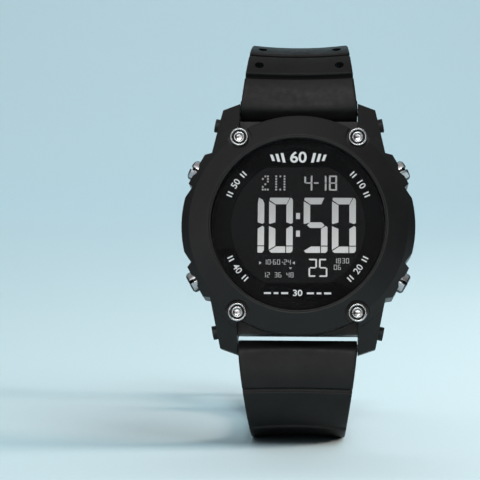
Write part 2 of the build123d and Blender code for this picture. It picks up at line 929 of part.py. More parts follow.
with BuildPart() as battery_clip:
    with BuildSketch(face_plane(battery_front + battery_thickness)):
        with Locations((0, battery_z)):
            Rectangle(2 * clip_reach, clip_strip)
    extrude(amount=-clip_sheet)
    with BuildSketch(face_plane(board_back)):
        for side in (1, -1):
            with Locations((side * (clip_reach - clip_sheet / 2), battery_z)):
                Rectangle(clip_sheet, clip_strip)
    extrude(amount=board_back - battery_front - battery_thickness)
keep(battery_clip.part, "battery_clip")

with BuildPart() as battery_contact:
    with BuildSketch(face_plane(board_back)):
        with Locations((0, battery_z + battery_radius + contact_sheet / 2 + fit_gap)):
            Rectangle(contact_width, contact_sheet)
    extrude(amount=-contact_height)
    with BuildSketch(face_plane(board_back)):
        with Locations((0, battery_z + battery_radius + contact_sheet + fit_gap)):
            Rectangle(contact_width, contact_width / 2, align=(Align.CENTER, Align.MIN))
    extrude(amount=-contact_sheet)
keep(battery_contact.part, "battery_contact")

# Button contacts: a foot on the board's rim and a leaf that each stem presses
with BuildPart() as button_contacts:
    for angle in button_names.values():
        with BuildSketch(radial_plane(angle, leaf_stand - leaf_sheet)):
            Rectangle(leaf_height, leaf_width)
        extrude(amount=leaf_sheet)
        with BuildSketch(radial_plane(angle, leaf_foot)):
            with Locations((leaf_height / 2 - leaf_sheet / 2, 0)):
                Rectangle(leaf_sheet, leaf_width)
        extrude(amount=leaf_stand - leaf_foot)
keep(button_contacts.part, "button_contacts")

# Rear cover of the module, buzzer spring and piezo disc
with BuildPart() as module_cover:
    with BuildSketch(face_plane(module_back)):
        Circle(module_radius)
        with Locations((buzzer_x, buzzer_z)):
            Circle(buzzer_radius + buzzer_wire + slip_gap, mode=Mode.SUBTRACT)
    extrude(amount=-cover_thickness)
keep(module_cover.part, "module_cover")

with BuildPart() as buzzer_spring:
    with Locations(Plane((buzzer_x, board_back, buzzer_z), z_dir=(0, 1, 0))):
        add(coil_spring(piezo_front() - board_back, buzzer_radius, buzzer_wire, buzzer_turns))
keep(buzzer_spring.part, "buzzer_spring")

with BuildPart() as piezo_disc:
    with BuildSketch(face_plane(piezo_front())):
        with Locations((-piezo_offset_z, piezo_offset_z)):
            Circle(piezo_radius)
    extrude(amount=-piezo_thickness)
keep(piezo_disc.part, "piezo_disc")

# Case back with its gasket and four screws
with BuildPart() as case_back:
    with BuildSketch(face_plane(case_back_face)):
        Circle(back_radius)
    extrude(amount=-back_thickness)
    back_edge = case_back.edges().filter_by(GeomType.CIRCLE).sort_by(Axis.Y)[-1]
    chamfer(back_edge, length=back_edge_chamfer)
    with BuildSketch(face_plane(case_back_face + back_thickness)):
        Circle(back_step_radius)
    extrude(amount=-back_step)
    with BuildSketch(face_plane(case_back_face - spigot_depth)):
        Circle(spigot_radius)
    extrude(amount=-spigot_depth)
    with BuildSketch(face_plane(case_back_face)):
        with PolarLocations(back_screw_ring, 4, start_angle=quarter_turn / 2):
            Circle(back_screw_shank + fit_gap)
    extrude(amount=-back_thickness, mode=Mode.SUBTRACT)
    with BuildSketch(face_plane(case_back_face + back_thickness)):
        with PolarLocations(back_screw_ring, 4, start_angle=quarter_turn / 2):
            Circle(back_screw_head + fit_gap)
    extrude(amount=back_screw_sink, mode=Mode.SUBTRACT)
keep(case_back.part, "case_back")

with BuildPart() as case_back_gasket:
    with BuildSketch(face_plane(case_back_face)):
        Circle(back_gasket_outer)
        Circle(back_gasket_inner, mode=Mode.SUBTRACT)
    extrude(amount=back_gasket_height)
keep(case_back_gasket.part, "case_back_gasket")

with BuildPart() as case_back_screws:
    with BuildSketch(face_plane(case_back_face + back_thickness)):
        with PolarLocations(back_screw_ring, 4, start_angle=quarter_turn / 2):
            Circle(back_screw_head)
    extrude(amount=back_screw_sink)
    with BuildSketch(face_plane(case_back_face + back_thickness - back_screw_sink)):
        with PolarLocations(back_screw_ring, 4, start_angle=quarter_turn / 2):
            Circle(back_screw_shank)
    extrude(amount=back_screw_length)
    with BuildSketch(face_plane(case_back_face + back_thickness)):
        with PolarLocations(back_screw_ring, 4, start_angle=quarter_turn / 2):
            Rectangle(slot_width / 2, 2 * back_screw_head)
            Rectangle(2 * back_screw_head, slot_width / 2)
    extrude(amount=back_screw_sink / 2, mode=Mode.SUBTRACT)
keep(case_back_screws.part, "case_back_screws")

# Buttons: each has a slotted head on a stem, a return spring, a sleeve with a seal and a clip
with BuildPart() as pusher_sleeves:
    for angle in button_names.values():
        with BuildSketch(radial_plane(angle, sleeve_inner)):
            Circle(sleeve_radius)
            Circle(sleeve_bore, mode=Mode.SUBTRACT)
        extrude(amount=recess_floor - sleeve_inner)
        with BuildSketch(radial_plane(angle, seal_station() - seal_wire - fit_gap)):
            Circle(sleeve_bore + 2 * seal_wire)
        extrude(amount=2 * (seal_wire + fit_gap), mode=Mode.SUBTRACT)
keep(pusher_sleeves.part, "pusher_sleeves")

with BuildPart() as pusher_seals:
    for angle in button_names.values():
        with BuildSketch(radial_plane(angle, seal_station() - seal_wire)):
            Circle(sleeve_bore + 2 * seal_wire - fit_gap)
            Circle(stem_radius + fit_gap, mode=Mode.SUBTRACT)
        extrude(amount=2 * seal_wire)
keep(pusher_seals.part, "pusher_seals")

for button, angle in button_names.items():
    with BuildPart() as push_button:
        with BuildSketch(radial_plane(angle, head_face - head_length)):
            Circle(head_radius)
        extrude(amount=head_length)
        rim = push_button.edges().filter_by(GeomType.CIRCLE)
        chamfer(rim.sort_by(lambda edge: edge.center().length)[-1], length=head_chamfer)
        with BuildSketch(radial_plane(angle, stem_end)):
            Circle(stem_radius)
        extrude(amount=head_face - head_length - stem_end)
        with BuildSketch(radial_plane(angle, sleeve_inner - fit_gap - clip_thickness)):
            Circle(stem_radius + clip_groove)
            Circle(stem_radius - clip_groove, mode=Mode.SUBTRACT)
        extrude(amount=clip_thickness, mode=Mode.SUBTRACT)
        with BuildSketch(radial_plane(angle, head_face - slot_depth)):
            Rectangle(slot_width, 2 * head_radius)
        extrude(amount=slot_depth, mode=Mode.SUBTRACT)
    keep(push_button.part, f"button_{button}")

    with BuildPart() as retaining_clip:
        with BuildSketch(radial_plane(angle, sleeve_inner - fit_gap - clip_thickness)):
            Circle(clip_radius)
            Circle(stem_radius - clip_groove + fit_gap, mode=Mode.SUBTRACT)
            with Locations((clip_radius, 0)):
                Rectangle(2 * clip_radius, stem_radius, mode=Mode.SUBTRACT)
        extrude(amount=clip_thickness)
    keep(retaining_clip.part, f"clip_{button}")

    with BuildPart() as return_spring:
        with Locations(radial_plane(angle, recess_floor)):
            add(coil_spring(head_face - head_length - recess_floor, spring_radius, spring_wire,
                            spring_turns))
    keep(return_spring.part, f"spring_{button}")

# Spring bars that carry the strap between the lugs
for name, end in (("spring_bar_upper", 1), ("spring_bar_lower", -1)):
    with BuildPart() as spring_bar:
        with BuildSketch(Plane.YZ):
            with Locations((bar_depth, end * bar_z)):
                Circle(bar_radius)
        extrude(amount=lug_gap_half - fit_gap, both=True)
        with BuildSketch(Plane.YZ):
            with Locations((bar_depth, end * bar_z)):
                Circle(bar_tip_radius)
        extrude(amount=lug_gap_half + bar_tip_length, both=True)
    keep(spring_bar.part, name)

# Long half of the strap: a moulded curve with paired holes, cross grooves and a trough
with BuildLine(Plane.YZ) as upper_path:
    draw_upper_run()
upper_line = upper_path.wire()
with BuildPart() as upper_plan:
    with BuildSketch(Plane.XZ):
        mirrored_polygon([
            (strap_half_width, bar_z - 2 * upper_knuckle),
            (strap_half_width, heel_z),
            (upper_half_top, upper_top_z()),
            (upper_half_top, upper_top_z() + overrun),
        ])
    extrude(amount=-strap_face - strap_bend)
    with BuildSketch(Plane.XY.offset(-bar_z)):
        mirrored_polygon([
            (upper_half_top, strap_face + strap_bend),
            (tail_half_width, strap_face + strap_bend + tail_taper_run),
            (tail_half_width, strap_face + strap_bend + upper_run + 2 * upper_sweep),
        ])
    extrude(amount=2 * bar_z + strap_bend + overrun)
with BuildPart() as strap_upper:
    with BuildSketch(Plane.YZ) as strap_profile:
        with BuildLine():
            draw_upper_run()
            offset(amount=strap_thickness, side=Side.RIGHT, closed=True)
        make_face()
        Polygon(*heel_points(1, upper_shoulder, upper_knuckle), align=None)
        with Locations((bar_depth, bar_z)):
            Circle(upper_knuckle)
            Circle(bar_bore, mode=Mode.SUBTRACT)
    extrude(amount=strap_half_width, both=True)
    add(upper_plan.part, mode=Mode.INTERSECT)
    add(trough(upper_line, 1), mode=Mode.SUBTRACT)
    add(cross_grooves(upper_line, 1, upper_groove_start, strap_pitch, upper_groove_count),
        mode=Mode.SUBTRACT)
    tip_edges = strap_upper.edges().filter_by(Axis.Y).filter_by_position(
        Axis.Y, bar_z + strap_bend, 2 * outline_reach)
    fillet(tip_edges.group_by(Axis.Z)[0], radius=tail_corner)
    for row in range(hole_row_count):
        station = hole_row_start + row * strap_pitch
        for side in (1, -1):
            with BuildSketch(strap_plane(upper_line, station, side * hole_offset(station))):
                Circle(hole_radius)
            extrude(amount=2 * strap_thickness, both=True, mode=Mode.SUBTRACT)
keep(strap_upper.part, "strap_upper")

# Short half of the strap: it runs down to a flat foot and ends in the buckle's knuckle
with BuildLine(Plane.YZ) as lower_path:
    draw_lower_run()
lower_line = lower_path.wire()
with BuildPart() as lower_plan:
    with BuildSketch(Plane.XZ):
        mirrored_polygon([
            (strap_half_width, 2 * lower_knuckle - bar_z),
            (strap_half_width, -heel_z),
            (tail_half_width, lower_bottom_z()),
            (tail_half_width, lower_bottom_z() - overrun),
        ])
    extrude(amount=-strap_face - strap_bend)
    with BuildSketch(Plane.XZ.offset(-strap_face - strap_bend)):
        with Locations((0, lower_bottom_z())):
            Rectangle(2 * tail_half_width, 2 * bar_z)
    extrude(amount=-2 * upper_sweep)
with BuildPart() as strap_lower:
    with BuildSketch(Plane.YZ):
        with BuildLine():
            draw_lower_run()
            offset(amount=strap_thickness, side=Side.LEFT, closed=True)
        make_face()
        Polygon(*heel_points(-1, lower_shoulder, lower_knuckle), align=None)
        with Locations((bar_depth, -bar_z)):
            Circle(lower_knuckle)
            Circle(bar_bore, mode=Mode.SUBTRACT)
        with Locations(buckle_pivot()):
            Circle(buckle_knuckle)
            Circle(buckle_bar_radius + fit_gap, mode=Mode.SUBTRACT)
    extrude(amount=strap_half_width, both=True)
    add(lower_plan.part, mode=Mode.INTERSECT)
    add(trough(lower_line, -1), mode=Mode.SUBTRACT)
    add(cross_grooves(lower_line, -1, lower_groove_start, lower_groove_pitch, lower_groove_count),
        mode=Mode.SUBTRACT)
    for side in (1, -1):
        with BuildSketch(buckle_plane()):
            with Locations((side * (buckle_tab_half + strap_half_width / 2), 0)):
                Rectangle(strap_half_width, 2 * tab_clearance)
        extrude(amount=strap_thickness, both=True, mode=Mode.SUBTRACT)
keep(strap_lower.part, "strap_lower")

# Keeper: a loop that slides along the lower strap
with BuildPart() as strap_keeper:
    with BuildSketch(keeper_plane()):
        with Locations((0, keeper_slack / 2)):
            RectangleRounded(2 * (tail_half_width + keeper_play + keeper_wall),
                             strap_thickness + 2 * keeper_play + keeper_slack + 2 * keeper_wall,
                             keeper_wall)
            Rectangle(2 * (tail_half_width + keeper_play),
                      strap_thickness + 2 * keeper_play + keeper_slack, mode=Mode.SUBTRACT)
    extrude(amount=keeper_length / 2, both=True)
keep(strap_keeper.part, "strap_keeper")

# Buckle: the bar through the strap's end, the frame that swings on it and the twin prongs
with BuildPart() as buckle_bar:
    with BuildSketch(buckle_side()):
        Circle(buckle_bar_radius)
    extrude(amount=frame_half_width - slip_gap, both=True)
keep(buckle_bar.part, "buckle_bar")

with BuildPart() as buckle_frame:
    with BuildSketch(buckle_plane()) as frame_outline:
        with Locations((0, -frame_ear)):
            Rectangle(2 * frame_half_width, frame_ear + frame_end,
                      align=(Align.CENTER, Align.MIN))
        fillet(frame_outline.vertices().group_by(Axis.Y)[-1], radius=frame_corner)
        with Locations((0, -frame_ear)):
            Rectangle(2 * (frame_half_width - frame_side), frame_ear + frame_end - frame_end_bar,
                      align=(Align.CENTER, Align.MIN), mode=Mode.SUBTRACT)
    extrude(amount=frame_thickness / 2, both=True)
    with BuildSketch(buckle_side()):
        Circle(buckle_bar_radius + fit_gap)
    extrude(amount=frame_half_width, both=True, mode=Mode.SUBTRACT)
    with BuildSketch(buckle_plane(-frame_thickness / 2)):
        for side in (1, -1):
            with Locations((side * prong_x, frame_end - frame_end_bar / 2)):
                Rectangle(prong_width + 2 * slip_gap, frame_end_bar + fit_gap)
    extrude(amount=prong_notch, mode=Mode.SUBTRACT)
keep(buckle_frame.part, "buckle_frame")

with BuildPart() as buckle_prongs:
    for side in (1, -1):
        with BuildSketch(buckle_side(side * prong_x)):
            Circle(prong_loop)
            with Locations((0, -prong_loop)):
                Rectangle(prong_tip, prong_loop - prong_low, align=(Align.MIN, Align.MIN))
            Circle(buckle_bar_radius + fit_gap, mode=Mode.SUBTRACT)
        extrude(amount=prong_width / 2, both=True)
    with BuildSketch(buckle_side()):
        with Locations((prong_bridge_start, -prong_loop)):
            Rectangle(prong_bridge_width, prong_loop - prong_low, align=(Align.MIN, Align.MIN))
    extrude(amount=prong_x, both=True)
keep(buckle_prongs.part, "buckle_prongs")

# Stance: the watch leans back on its lower strap, over the middle of the box around it
lean = Rotation(-lean_angle, 0, 0)
boxes = [piece.moved(lean).bounding_box() for piece in pieces.values()]
middle_x = (min(box.min.X for box in boxes) + max(box.max.X for box in boxes)) / 2
middle_y = (min(box.min.Y for box in boxes) + max(box.max.Y for box in boxes)) / 2
floor_z = min(box.min.Z for box in boxes)
stance = Location((-middle_x, -middle_y, -floor_z)) * lean

for name, piece in pieces.items():
    standing = piece.moved(stance)
    standing.label = name
    export_step(standing, f"parts/{name}.step")
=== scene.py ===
"""Looks of the digital watch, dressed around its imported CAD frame."""

import json
import math

import bmesh
import bpy
from mathutils import Matrix, Vector


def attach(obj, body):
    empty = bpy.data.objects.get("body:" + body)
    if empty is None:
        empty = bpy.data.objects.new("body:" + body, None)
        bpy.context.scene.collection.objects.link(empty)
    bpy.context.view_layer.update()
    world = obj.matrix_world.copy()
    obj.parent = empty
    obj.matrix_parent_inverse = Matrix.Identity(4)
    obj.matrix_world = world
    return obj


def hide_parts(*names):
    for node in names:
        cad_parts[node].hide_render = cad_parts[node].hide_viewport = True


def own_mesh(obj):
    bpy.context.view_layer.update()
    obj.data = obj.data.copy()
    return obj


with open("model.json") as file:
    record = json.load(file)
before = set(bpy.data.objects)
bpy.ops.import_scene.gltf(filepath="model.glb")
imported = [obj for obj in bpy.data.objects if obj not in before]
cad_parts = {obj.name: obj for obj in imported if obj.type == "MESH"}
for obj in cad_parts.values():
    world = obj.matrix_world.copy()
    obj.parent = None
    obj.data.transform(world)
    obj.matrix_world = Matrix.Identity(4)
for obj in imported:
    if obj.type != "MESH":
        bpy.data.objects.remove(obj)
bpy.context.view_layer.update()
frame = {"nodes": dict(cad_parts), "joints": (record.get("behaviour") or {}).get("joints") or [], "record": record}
MM = 0.001
QUARTER = math.pi / 2
FULL = 2 * math.pi

# The watch's own frame, read from its strap hinges: X right, Y into the watch, Z to 12 o'clock.
# RIGHT reads the same in both frames, and DEPTH is INWARD as the watch's frame reads it.
BAR_DEPTH = 8.5
hinges = {joint["name"]: Vector(joint["pos_m"]) for joint in frame["joints"] if "pos_m" in joint}
upper_bar, lower_bar = hinges["long_strap_hinge"], hinges["short_strap_hinge"]
UP = (upper_bar - lower_bar).normalized()
RIGHT = Vector((1, 0, 0))
DEPTH = Vector((0, 1, 0))
INWARD = UP.cross(RIGHT)
DIAL = (upper_bar + lower_bar) / 2 - INWARD * BAR_DEPTH * MM
BAR_Z = (upper_bar - lower_bar).length / 2 / MM
WATCH = Matrix.Translation(DIAL) @ Matrix((RIGHT, INWARD, UP)).transposed().to_4x4()
TO_WATCH = WATCH.inverted()

# Camera, from the photograph
PHOTO_SIZE = 480
DIAL_PIXEL = (297.7, 222.9)
PIXELS_PER_MM = 4.668
CAMERA_DISTANCE = 340.0
CAMERA_RISE = math.radians(3.0)
CAMERA_TURN = math.radians(1.0)
SENSOR = 36.0
CLIP_START = 0.01


def new_object(name, data):
    """A camera, light, curve or mesh as an object of the scene."""
    made = bpy.data.objects.new(name, data)
    bpy.context.scene.collection.objects.link(made)
    return made


def aim_camera():
    """Stand the camera off the dial and turn it until the dial sits where the photograph has it."""
    back = Vector((math.sin(CAMERA_TURN) * math.cos(CAMERA_RISE),
                   -math.cos(CAMERA_TURN) * math.cos(CAMERA_RISE), math.sin(CAMERA_RISE)))
    focal_pixels = PIXELS_PER_MM * CAMERA_DISTANCE
    side = Vector((0, 0, 1)).cross(back).normalized()
    top = back.cross(side)
    off_x = (DIAL_PIXEL[0] - PHOTO_SIZE / 2) / focal_pixels
    off_y = (PHOTO_SIZE / 2 - DIAL_PIXEL[1]) / focal_pixels
    view = (-back - side * off_x - top * off_y).normalized()
    data = bpy.data.cameras.new("photo_camera")
    data.lens = focal_pixels * SENSOR / PHOTO_SIZE
    data.sensor_width = SENSOR
    data.clip_start = CLIP_START
    camera = new_object("photo_camera", data)
    camera.location = DIAL + back * CAMERA_DISTANCE * MM
    camera.rotation_euler = view.to_track_quat("-Z", "Y").to_euler()
    bpy.context.scene.camera = camera


aim_camera()
bpy.context.scene.view_settings.view_transform = "Standard"


# Shader nodes
RAMP_ENDS = (0.35, 0.65)
SPREAD_ENDS = (0.3, 0.7)
BEVEL_SAMPLES = 6


class Graph:
    """The nodes of a material or a world, with short ways to add the usual ones."""

    def __init__(self, owner):
        owner.use_nodes = True
        self.nodes, self.links = owner.node_tree.nodes, owner.node_tree.links

    def feed(self, node, inputs):
        """Link outputs to a node's inputs, or set their own numbers and colours."""
        for name, value in inputs.items():
            socket = node.inputs[name]
            if isinstance(value, bpy.types.NodeSocket):
                self.links.new(value, socket)
            elif socket.type == "RGBA":
                socket.default_value = (*value, 1)
            else:
                socket.default_value = value

    def add(self, kind, inputs=None, **settings):
        """A new node with its settings made and its inputs fed."""
        node = self.nodes.new(f"ShaderNode{kind}")
        for name, value in settings.items():
            setattr(node, name, value)
        self.feed(node, inputs or {})
        return node

    def noise(self, scale, detail=3.0, stretch=(1, 1, 1)):
        """Noise in object space, scale in features per metre."""
        place = self.add("TexCoord").outputs["Object"]
        mapping = self.add("Mapping", {"Vector": place, "Scale": stretch})
        texture = self.add("TexNoise", {"Vector": mapping.outputs["Vector"], "Scale": scale,
                                        "Detail": detail})
        return texture.outputs["Fac"]

    def ramp(self, value, low, high):
        """A colour ramp between two colours, over the middle of a noise's range."""
        node = self.add("ValToRGB", {"Fac": value})
        first, last = node.color_ramp.elements
        first.position, last.position = RAMP_ENDS
        first.color, last.color = (*low, 1), (*high, 1)
        return node.outputs["Color"]

    def spread(self, value, low, high, ends=SPREAD_ENDS):
        """Map a value between two ends to low and high, held between them."""
        return self.add("MapRange", {"Value": value, "From Min": ends[0], "From Max": ends[1],
                                     "To Min": low, "To Max": high}).outputs["Result"]

    def mix(self, share, first, second, blend="MIX"):
        """Blend two colours by a share from 0 to 1."""
        return self.add("Mix", {"Factor": share, "A": first, "B": second}, data_type="RGBA",
                        blend_type=blend).outputs["Result"]

    def soft_edges(self, radius, relief, height, strength=0.3):
        """Rounded edges under a relief; returns the normal and a value that falls near edges."""
        bevel = self.add("Bevel", {"Radius": radius * MM}, samples=BEVEL_SAMPLES).outputs["Normal"]
        bump = self.add("Bump", {"Strength": strength, "Distance": height * MM, "Height": relief,
                                 "Normal": bevel})
        flat = self.add("NewGeometry").outputs["Normal"]
        alike = self.add("VectorMath", {0: bevel, 1: flat}, operation="DOT_PRODUCT")
        return bump.outputs["Normal"], alike.outputs["Value"]

    def shade(self, inputs):
        """Feed the Principled shader."""
        self.feed(self.nodes["Principled BSDF"], inputs)


# Materials
TONE_SCALE = 120.0
WEAR_SCALE = 700.0
RESIN_RELIEF = 0.02
RESIN_TINT = (1.0, 0.975, 0.965)
EDGE_LIGHT = 2.2
EDGE_ENDS = (0.75, 0.995)
RESIN_GLOSS, RESIN_DULL = -0.05, 0.06
STEEL_LINES = 4000.0
STEEL_PATCHES = 900.0
STEEL_RELIEF = 0.01
STEEL_EDGE = 0.12
STEEL_PATCH_SHARE = 0.92
STEEL_DULL = 0.12
PLAIN_EDGE = 0.08
PLAIN_GLOSS, PLAIN_DULL = -0.04, 0.06
SMEAR_SCALE = 260.0
SMEAR_LIGHT = 1.15
SMEAR_ROUGHNESS = (0.03, 0.08)
GLASS_IOR = 1.5
PIXEL_SCALE = 5000.0
PIXEL_DARK = 0.75
PIXEL_SHARE = 0.18
# Painted glow of the display's segments, which are no lamp
LCD_PAINTED_GLOW = 0.6
LCD_ROUGHNESS = 0.55
LCD_SHINE = 0.2
materials = {}


def new_material(name):
    """A new material, kept under its name; returns its graph."""
    materials[name] = bpy.data.materials.new(name)
    return Graph(materials[name])


def grey(level):
    """A colour without a hue."""
    return (level, level, level)


def resin(name, dark, light, roughness, shine, grain=9000.0, edge_radius=0.25):
    """Moulded resin: a fine eroded grain, slow tone changes and edges polished by wear."""
    graph = new_material(name)
    normal, flatness = graph.soft_edges(edge_radius, graph.noise(grain, detail=2.0), RESIN_RELIEF)
    tone = graph.ramp(graph.noise(TONE_SCALE, detail=4.0), dark, light)
    worn = tuple(channel * EDGE_LIGHT for channel in light)
    near_edge = graph.spread(flatness, 1.0, 0.0, EDGE_ENDS)
    wear = graph.noise(WEAR_SCALE, detail=5.0)
    graph.shade({"Normal": normal, "Base Color": graph.mix(near_edge, tone, worn),
                 "Roughness": graph.spread(wear, roughness + RESIN_GLOSS, roughness + RESIN_DULL),
                 "Specular IOR Level": shine, "Specular Tint": RESIN_TINT})


def steel(name, tone, roughness, stretch=(1, 1, 12)):
    """Bare steel with fine drawn lines, darker patches and soft edges."""
    graph = new_material(name)
    lines = graph.noise(STEEL_LINES, detail=4.0, stretch=stretch)
    patches = graph.noise(STEEL_PATCHES, detail=4.0)
    normal, _ = graph.soft_edges(STEEL_EDGE, lines, STEEL_RELIEF, strength=0.25)
    darker = tuple(channel * STEEL_PATCH_SHARE for channel in tone)
    graph.shade({"Normal": normal, "Base Color": graph.ramp(patches, darker, tone),
                 "Roughness": graph.spread(lines, roughness, roughness + STEEL_DULL),
                 "Metallic": 1.0})


def plain(name, dark, light, roughness, scale=1500.0, metallic=0.0, relief=0.01, shine=0.5):
    """A small part's finish: two tones, a slight relief and soft edges."""
    graph = new_material(name)
    grain = graph.noise(scale)
    normal, _ = graph.soft_edges(PLAIN_EDGE, grain, relief)
    graph.shade({"Normal": normal, "Base Color": graph.ramp(grain, dark, light),
                 "Roughness": graph.spread(grain, roughness + PLAIN_GLOSS, roughness + PLAIN_DULL),
                 "Metallic": metallic, "Specular IOR Level": shine})


def clear_glass(name, alpha, tint):
    """Mineral glass, seen through, with a faint gloss and hairline smears."""
    graph = new_material(name)
    smear = graph.noise(SMEAR_SCALE, detail=5.0, stretch=(1, 1, 3))
    lighter = tuple(channel * SMEAR_LIGHT for channel in tint)
    graph.shade({"Base Color": graph.ramp(smear, tint, lighter), "Alpha": alpha,
                 "Roughness": graph.spread(smear, *SMEAR_ROUGHNESS), "IOR": GLASS_IOR})
    materials[name].surface_render_method = "BLENDED"


def display(name, top, bottom, low_z, high_z):
    """Liquid-crystal segments with a painted glow and painted shade that darkens them towards the top, on a fine
    pixel pattern.
    """
    graph = new_material(name)
    place = graph.add("TexCoord").outputs["Object"]
    z = graph.add("SeparateXYZ", {"Vector": place}).outputs["Z"]
    tone = graph.mix(graph.spread(z, 0.0, 1.0, (low_z, high_z)), bottom, top)
    pixels = graph.ramp(graph.noise(PIXEL_SCALE, detail=2.0), grey(PIXEL_DARK), grey(1))
    lit = graph.mix(PIXEL_SHARE, tone, pixels, "MULTIPLY")
    graph.shade({"Base Color": lit, "Emission Color": lit, "Emission Strength": LCD_PAINTED_GLOW,
                 "Roughness": LCD_ROUGHNESS, "Specular IOR Level": LCD_SHINE})


resin("case_resin", (0.0065, 0.0065, 0.0066), grey(0.0085), roughness=0.42, shine=0.25)
resin("strap_resin", grey(0.006), grey(0.009), roughness=0.48, shine=0.22, grain=7000.0,
      edge_radius=0.3)
steel("bright_steel", grey(0.4), roughness=0.15, stretch=(1, 1, 1))
steel("button_steel", (0.5, 0.5, 0.51), roughness=0.24, stretch=(1, 8, 1))
# dark_steel: a darker copy of steel, used as painted shade on the button heads' rims and flanks
steel("dark_steel", (0.06, 0.06, 0.062), roughness=0.3)
steel("back_steel", (0.6, 0.6, 0.62), roughness=0.26)
# black_screw also paints shade into the screws' sunk rings and the button slots
plain("black_screw", grey(0.008), grey(0.012), roughness=0.4, shine=0.2)
clear_glass("mineral_glass", alpha=0.1, tint=(0.02, 0.021, 0.023))
# black_print also serves the long strap as painted shade in its grooves, holes and bar bore
plain("black_print", grey(0.003), grey(0.0038), roughness=0.6, scale=3000.0, relief=0.002,
      shine=0.08)
plain("lcd_dark", grey(0.004), grey(0.0052), roughness=0.5, scale=4000.0, relief=0.002,
      shine=0.1)
# Both displays: painted glow, and painted shade that makes the segments darker towards the top
display("lcd_light", grey(0.32), (0.57, 0.57, 0.56), DIAL.z - 0.008, DIAL.z + 0.008)
display("lcd_faint", grey(0.34), grey(0.38), DIAL.z - 0.012, DIAL.z)
plain("white_plastic", (0.7, 0.7, 0.68), (0.82, 0.82, 0.8), roughness=0.5)
plain("seal_rubber", grey(0.012), grey(0.02), roughness=0.7)
plain("board_green", (0.01, 0.1, 0.04), (0.02, 0.16, 0.07), roughness=0.4)
plain("black_epoxy", grey(0.01), grey(0.02), roughness=0.3)
plain("contact_brass", (0.6, 0.42, 0.17), (0.72, 0.53, 0.25), roughness=0.3, metallic=1.0)
plain("dial_ink", grey(0.86), grey(0.95), roughness=0.55, scale=5000.0, relief=0.004)

# Every CAD node gets the finish of its record slot
for entry in frame["record"]["subparts"]:
    node = frame["nodes"][entry["node"]]
    if not node.material_slots:
        node.data.materials.append(None)
    for place in node.material_slots:
        place.material = materials[entry["material_slot"]]


# Mesh helpers, in the watch's frame and in millimetres
SECOND_FINISH, THIRD_FINISH = 1, 2
CORNERS = ((1, 1), (-1, 1), (-1, -1), (1, -1))


def place_mesh(name, vertices, faces):
    """An object made of vertices and faces that are given in the watch's frame."""
    mesh = bpy.data.meshes.new(name)
    mesh.from_pydata([Vector(vertex) * MM for vertex in vertices], [], faces)
    mesh.transform(WATCH)
    mesh.validate()
    mesh.update()
    return new_object(name, mesh)


def watch_mesh(name, vertices, faces, body, *finishes):
    """A mesh piece that rides on a CAD body; all of it starts in the first finish."""
    piece = place_mesh(name, vertices, faces)
    for finish in finishes:
        piece.data.materials.append(materials[finish])
    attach(piece, body)
    return piece


def final_mesh(holder):
    """The mesh of an object with its curve or its modifiers worked out."""
    bpy.context.view_layer.update()
    return bpy.data.meshes.new_from_object(
        holder.evaluated_get(bpy.context.evaluated_depsgraph_get()))


def cutter(name, vertices, faces):
    """A closed solid that a boolean takes away."""
    piece = place_mesh(name, vertices, faces)
    solid = bmesh.new()
    solid.from_mesh(piece.data)
    bmesh.ops.recalc_face_normals(solid, faces=solid.faces)
    solid.to_mesh(piece.data)
    solid.free()
    return piece


def cut_away(piece, tool, painted_shade_lining=None):
    """Subtract a cutter from a piece, line the cut with another finish as painted shade, and remove the cutter."""
    if painted_shade_lining:
        tool.data.materials.append(materials[painted_shade_lining])
    modifier = piece.modifiers.new("cut", "BOOLEAN")
    modifier.operation = "DIFFERENCE"
    modifier.solver = "EXACT"
    modifier.material_mode = "TRANSFER" if painted_shade_lining else "INDEX"
    modifier.object = tool
    shaped = final_mesh(piece)
    piece.modifiers.clear()
    piece.data = shaped
    bpy.data.objects.remove(tool)


def soften(piece, crease=38.0):
    """Smooth shading, with edges that turn by more than the crease angle kept sharp."""
    piece.data.shade_smooth()
    piece.data.set_sharp_from_angle(angle=math.radians(crease))


def ring_faces(count, here, there):
    """The faces between two loops of points, given where each starts."""
    following = [*range(1, count), 0]
    return [(here + j, here + k, there + k, there + j) for j, k in enumerate(following)]


def closed_sweep(loops):
    """Vertices and faces of a ring of equal loops."""
    vertices = [point for loop in loops for point in loop]
    count, total = len(loops[0]), len(vertices)
    return vertices, [face for start in range(0, total, count)
                      for face in ring_faces(count, start, (start + count) % total)]


def tube(loops, flip=False):
    """Vertices and faces of a tube through equal loops, closed at both ends."""
    vertices, faces = closed_sweep(loops)
    count, last = len(loops[0]), len(vertices) - len(loops[0])
    faces[last:] = [tuple(reversed(range(count))), tuple(range(last, last + count))]
    return vertices, [face[::-1] for face in faces] if flip else faces


def box(origin, *spans):
    """Vertices and faces of a box; each of its three spans is (axis, from, to)."""
    (first, low, high), (second, left, right), (third, near, far) = spans
    return tube([[origin + first * a + second * b + third * c
                  for a, b in ((low, left), (high, left), (high, right), (low, right))]
                 for c in (near, far)])


def turned(profile, origin, axis, side, sides=28):
    """Vertices and faces of a turned solid; profile is (distance along the axis, radius)."""
    other = axis.cross(side)
    spokes = [side * math.cos(FULL * i / sides) + other * math.sin(FULL * i / sides)
              for i in range(sides)]
    return tube([[origin + axis * reach + radius * spoke for spoke in spokes]
                 for reach, radius in profile])


def join_solids(solids):
    """Several (vertices, faces) as one."""
    vertices, faces = [], []
    for more, their_faces in solids:
        faces += [tuple(index + len(vertices) for index in face) for face in their_faces]
        vertices += more
    return vertices, faces


def arc(x, y, radius, start, steps):
    """Points of a quarter circle round a centre, counted from an angle."""
    angles = [start + QUARTER * i / steps for i in range(steps + 1)]
    return [(x + radius * math.cos(angle), y + radius * math.sin(angle)) for angle in angles]


